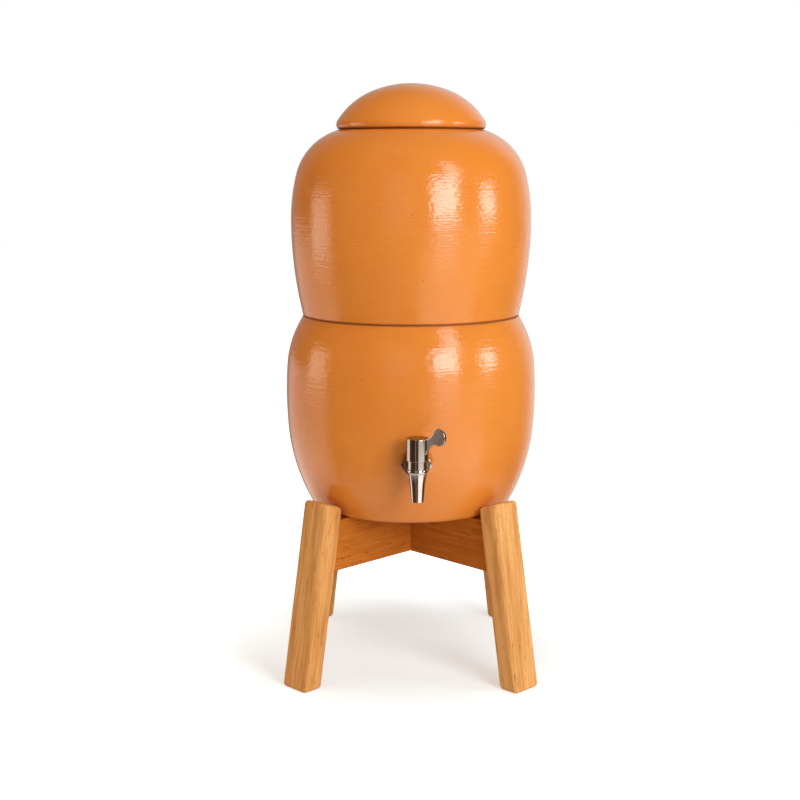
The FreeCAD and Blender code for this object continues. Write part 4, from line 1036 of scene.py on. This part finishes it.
def makeTapBody():
    form = bmesh.new()
    start = Vector((tap["outletRadius"], -tap["outletDrop"]))
    waist = Vector((tap["waistRadius"], -tap["waistDrop"]))
    beadLow = Vector((tap["barrel"], -tap["barrelDrop"]))
    beadHigh = Vector((tap["barrel"], tap["beadHeight"] - tap["barrelDrop"]))
    # the spout flares from its waist to the barrel, whose foot swells in a bead
    outside = [start] + linePoints(start, waist, tap["spoutStep"])
    outside += sideArc(waist, beadLow, "right", tap["flare"], tap["flareStep"])
    outside += sideArc(beadLow, beadHigh, "left", tap["beadRound"], tap["beadStep"])
    collar = Vector((tap["barrel"], tap["collarTop"]))
    bossTop = Vector((tap["boss"], tap["collarTop"] + tap["bossHeight"]))
    bonnetFloor = bossTop.y - tap["bonnetDepth"]
    points = outside + [collar, Vector((tap["boss"], tap["collarTop"])), bossTop]
    points += [Vector(point) for point in (
        (tap["bonnetBore"], bossTop.y), (tap["bonnetBore"], bonnetFloor),
        (tap["plugBore"], bonnetFloor), (tap["plugBore"], -tap["plugDrop"]),
        (tap["outletBore"], -tap["plugDrop"]), (tap["outletBore"], -tap["outletDrop"]))]
    for corner in (collar, bossTop):
        points = softenCorner(points, corner, tap["edge"], 3)
    spinSection(form, points, tap["steps"])
    along = Matrix.Rotation(-math.pi / 2, 4, "X")  # turned round the shank instead of the barrel
    neckEnd, bore = tap["neckLength"] + tap["flange"] / 2, tap["shankBore"]
    neck = [(bore, tap["neckStart"]), (tap["neck"], tap["neckStart"]), (tap["neck"], neckEnd),
            (bore, neckEnd)]
    shank = [(bore, neckEnd), (tap["shank"], neckEnd),
             (tap["shank"], tap["shankEnd"] - tap["shankChamfer"]),
             (tap["shank"] - tap["shankChamfer"], tap["shankEnd"]), (bore, tap["shankEnd"])]
    for section in (neck, shank):
        spinSection(form, section, tap["shankSteps"], along)
    hexagonBlock(form, tap["flangeFlats"], tap["neckLength"], tap["neckLength"] + tap["flange"],
                 tap["neck"] - tap["neckInFlange"])
    made = addSharpPiece("tapBody", finishForm(form, "tapBody"), tapPlace, tap["sharp"], nickel)
    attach(made, "lower_tank")
    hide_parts("tap_body")


lever = {
    "bottom": 0.0087, "height": 0.0219, "radius": 0.011, "inside": 0.0085, "ceiling": 0.0172,
    "round": 0.0006, "reach": 0.0358, "thickness": 0.0030, "paddle": 0.0085, "paddleRise": 0.0349,
    "lowerAngle": 238, "upperAngle": 118, "rootRise": 0.0122, "rootRadius": 0.0096,
    "lowerCurve": 0.026, "upperCurve": 0.017, "footRound": 0.0003,
    "curveStep": 0.0006, "paddleStep": 0.0005,
}


def onPaddle(angle):
    turn, radius = math.radians(angle), lever["paddle"]
    return Vector((lever["reach"] - radius + radius * math.cos(turn),
                   lever["paddleRise"] + radius * math.sin(turn)))


def makeTapLever():
    form = bmesh.new()
    top = lever["bottom"] + lever["height"]
    cap = [Vector((lever["inside"], lever["bottom"])), Vector((lever["radius"], lever["bottom"])),
           Vector((lever["radius"], top)), Vector((0, top)), Vector((0, lever["ceiling"])),
           Vector((lever["inside"], lever["ceiling"]))]
    cap = softenCorner(cap, cap[2], lever["round"], 5)
    cap = softenCorner(cap, cap[1], lever["footRound"], 3)
    spinSection(form, cap, tap["steps"])
    root = Vector((lever["rootRadius"], lever["rootRise"]))
    low, tip, high = onPaddle(lever["lowerAngle"]), onPaddle(0), onPaddle(lever["upperAngle"])
    centre = Vector((lever["reach"] - lever["paddle"], lever["paddleRise"]))
    capEnd = Vector((lever["radius"] + lever["round"], top))
    blade = [root] + sideArc(root, low, "right", lever["lowerCurve"], lever["curveStep"])
    for start, end in ((low, tip), (tip, high)):
        blade += arcPoints(centre, start, end, lever["paddleStep"])
    blade += sideArc(high, capEnd, "right", lever["upperCurve"], lever["curveStep"])
    blade += [Vector((lever["rootRadius"], top))]
    plate = bmesh.new()
    extrudeOutline(plate, blade, lever["thickness"])
    # only the blade's two flat sides have many corners
    rims = [edge for edge in plate.edges if len(edge.link_faces) == 2
            and max(len(face.verts) for face in edge.link_faces) > 8]
    roundEdges(plate, rims, lever["round"], 4)
    blank = bpy.data.meshes.new("blank")
    plate.to_mesh(blank)
    plate.free()
    form.from_mesh(blank)
    bpy.data.meshes.remove(blank)
    made = addSharpPiece("tapLever", finishForm(form, "tapLever"), leverPlace, tap["sharp"], nickel)
    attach(made, "lever")
    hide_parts("tap_lever")


makeTapBody()
makeTapLever()
print("tap turned")


# the pieces inside keep their own shapes and get their finishes

finishes = {
    "leg_dowels": dowelWood,
    "candle_dome": filterCeramic,
    "candle_cup": whitePlastic,
    "candle_gasket": blackRubber,
    "candle_slip_washer": whitePlastic,
    "candle_wing_nut": whitePlastic,
    "tap_plug": brass,
    "tap_bonnet": brass,
    "tap_seals": blackRubber,
    "tap_outer_washer": blackRubber,
    "tap_inner_washer": blackRubber,
    "tap_lock_nut": nickel,
}
for name, finish in finishes.items():
    for slot in nodes[name].material_slots:
        slot.material = finish
print("inner pieces finished:", len(finishes))


# studio: pale floor, white surroundings, soft boxes in front and beside, and a soft ceiling

studio = {
    "floorSize": 14.0,
    "floorColours": ((0.86, 0.86, 0.865, 1), (0.84, 0.84, 0.845, 1)),
    "floorCloud": (3.0, None, 2.0, 0.5),
    # the floor's seen base is bluish and its glow warm near the object, so that its shadows get
    # painted warm bounce light
    "floorSeen": (0.56, 0.68, 0.74, 1),
    "floorGlow": (0.515, 0.465, 0.435, 1),
    "glowReach": (0.10, 0.35),
    "ambient": 0.135,
    "middle": (0, 0.022, 0.36),
    "boxes": [
        # name, azimuth from the front towards the right, distance, from and up to height, width,
        # radiance, colour, seen in mirrors
        ("keyBox", 31.5, 1.5, 0.50, 1.12, 0.62, 9.6, (1, 1, 1), True),
        ("keyTop", 43, 1.5, 1.12, 1.90, 0.42, 4.5, (1, 1, 1), True),
        ("keyTail", 31, 1.5, 0.06, 0.50, 0.56, 1.45, (1, 1, 1), True),
        ("rightBox", 75, 1.5, 0.50, 0.88, 0.43, 7.8, (1, 1, 1), True),
        ("rightTail", 71, 1.5, 0.27, 0.50, 0.32, 2.0, (1, 1, 1), True),
        ("leftBox", -92, 1.5, 0.18, 0.75, 0.62, 2.4, (1, 0.88, 0.74), True),
        ("leftFill", -75, 1.7, 0.20, 1.50, 1.30, 1.25, (1, 0.78, 0.60), False),
        ("frontGlow", -12, 1.5, 0.35, 1.30, 0.80, 0.42, (1, 1, 1), True),
    ],
    "ceilingPlace": (0, axisY - 0.3, 2.1),
    "ceilingSize": 1.5,
    "ceilingRadiance": 1.65,
    "ceilingColour": (1, 0.88, 0.70),
    # the floor and the room as a mirror sees them: dim in front, lit towards the boxes
    "roomDark": (0.095, 0.052, 0.028, 1),
    "roomLit": (1.0, 0.95, 0.90, 1),
    "nearFloor": (0.25, 0.52),
    "lobes": [
        # from and up to azimuth in degrees, softness, strength near the object and far from it
        (9, 67, 6, 1.6, 0.62),
        (-150, -80, 6, 1.2, 0.80),
        (-19, -15, 2, 0.4, 0.4),
    ],
    "lobeReach": (0.5, 1.4),
    # the backdrop: azimuth where it starts, its strength from left to right, height where it ends
    "backFrom": (112, 150),
    "backdrop": (0.22, 0.92),
    "backdropSide": (-0.5, 0.5),
    "backdropTop": (0.42, 1.05),
}
white, black = (1, 1, 1, 1), (0, 0, 0, 1)


def addLamp(name, place, width, height, radiance, colour, inMirrors):
    data = bpy.data.lights.new(name, "AREA")
    data.shape = "RECTANGLE"
    data.size = width
    data.size_y = height
    data.energy = radiance * math.pi * width * height
    data.color = colour
    made = bpy.data.objects.new(name, data)
    made.location = place
    made.rotation_euler = (place - Vector(studio["middle"])).to_track_quat("Z", "Y").to_euler()
    made.visible_camera = False
    made.visible_glossy = inMirrors
    bpy.context.scene.collection.objects.link(made)


def addSoftBox(name, azimuth, distance, low, high, width, radiance, colour, inMirrors):
    turn = math.radians(azimuth)
    place = Vector((distance * math.sin(turn), axisY - distance * math.cos(turn), (low + high) / 2))
    addLamp(name, place, width, high - low, radiance, colour, inMirrors)


def azimuthOf(tree, place):
    # degrees round the object, from the front towards the right
    apart = addNode(tree, "ShaderNodeSeparateXYZ", {0: place}).outputs
    return addMath(tree, "DEGREES", addMath(tree, "ARCTAN2", apart[0], times(tree, apart[1], -1.0)))


def addLobes(tree, azimuth, distance):
    total = 0.0
    for start, end, soft, near, far in studio["lobes"]:
        rise = addRange(tree, azimuth, start - soft, start + soft)
        fall = addRange(tree, azimuth, end - soft, end + soft, 1.0, 0.0)
        strength = addRange(tree, distance, *studio["lobeReach"], near, far, False)
        total = plus(tree, times(tree, times(tree, rise, fall), strength), total)
    return total


def backdropOf(tree, azimuth):
    # the pale backdrop behind the object as a mirror sees it, dimmer on the left
    side = addMath(tree, "SINE", addMath(tree, "RADIANS", azimuth))
    strength = addRange(tree, side, *studio["backdropSide"], *studio["backdrop"])
    behind = addRange(tree, addMath(tree, "ABSOLUTE", azimuth), *studio["backFrom"])
    return times(tree, behind, strength)


def seenDirectly(tree):
    # the light path, and whether the ray comes from the camera, also through something clear
    path = addNode(tree, "ShaderNodeLightPath").outputs
    return path, addMath(tree, "MAXIMUM", path["Is Camera Ray"], path["Is Transmission Ray"])


def makeFloor():
    half = studio["floorSize"] / 2
    mesh = bpy.data.meshes.new("floor")
    mesh.from_pydata([(-half, -half, 0), (half, -half, 0), (half, half, 0), (-half, half, 0)],
                     [], [(0, 1, 2, 3)])
    material, tree, surface = newMaterial("paleFloor", Roughness=0.9, Specular_IOR_Level=0.0,
                                          Emission_Strength=1.0)
    path, seen = seenDirectly(tree)
    place = objectPlace(tree)
    distance = addVectorMath(tree, "LENGTH", place)
    tone = addMix(tree, addNoise(tree, place, studio["floorCloud"]), *studio["floorColours"])
    # a mirror sees the pale floor near the object and the dim room's floor farther off
    far = times(tree, addRange(tree, distance, *studio["nearFloor"]), path["Is Glossy Ray"])
    # the camera sees the bluish base, which under the warm glow near the object paints warm bounce
    # light into the shadows
    tone = addMix(tree, seen, tone, studio["floorSeen"])
    tone = addMix(tree, far, tone, studio["roomDark"])
    # brighter away from the object, so that the floor runs into the backdrop and keeps the shadow
    away = addRange(tree, distance, *studio["glowReach"])
    glow = addMix(tree, seen, black, addMix(tree, away, studio["floorGlow"], white))
    azimuth = azimuthOf(tree, place)
    lobes = addMath(tree, "MAXIMUM", addLobes(tree, azimuth, distance), backdropOf(tree, azimuth))
    mirrored = addMix(tree, 1.0, times(tree, lobes, far), studio["roomLit"], "MULTIPLY")
    glow = addMix(tree, 1.0, glow, mirrored, "ADD")
    connect(tree, surface, {"Base Color": tone, "Emission Color": glow})
    made = addObject("floor", mesh, material)


def makeSurroundings():
    world = bpy.data.worlds.new("studio")
    bpy.context.scene.world = world
    world.use_nodes = True
    tree = world.node_tree
    background = tree.nodes["Background"].inputs
    path, seen = seenDirectly(tree)
    way = addNode(tree, "ShaderNodeTexCoord").outputs["Generated"]
    # a mirror sees the pale backdrop behind the object and the dim room in front of it
    height = addNode(tree, "ShaderNodeSeparateXYZ", {0: way}).outputs[2]
    low = addRange(tree, height, *studio["backdropTop"], 1.0, 0.0)
    backdrop = times(tree, backdropOf(tree, azimuthOf(tree, way)), low)
    room = addMix(tree, backdrop, studio["roomDark"], white)
    colour = addMix(tree, path["Is Glossy Ray"], (studio["ambient"],) * 3 + (1,), room)
    connect(tree, background, {"Color": addMix(tree, seen, colour, white)})
    background["Strength"].default_value = 1.0


makeFloor()
makeSurroundings()
for box in studio["boxes"]:
    addSoftBox(*box)
addLamp("ceiling", Vector(studio["ceilingPlace"]), studio["ceilingSize"], studio["ceilingSize"],
        studio["ceilingRadiance"], studio["ceilingColour"], False)
bpy.context.scene.view_settings.view_transform = "Standard"
print("studio lit")
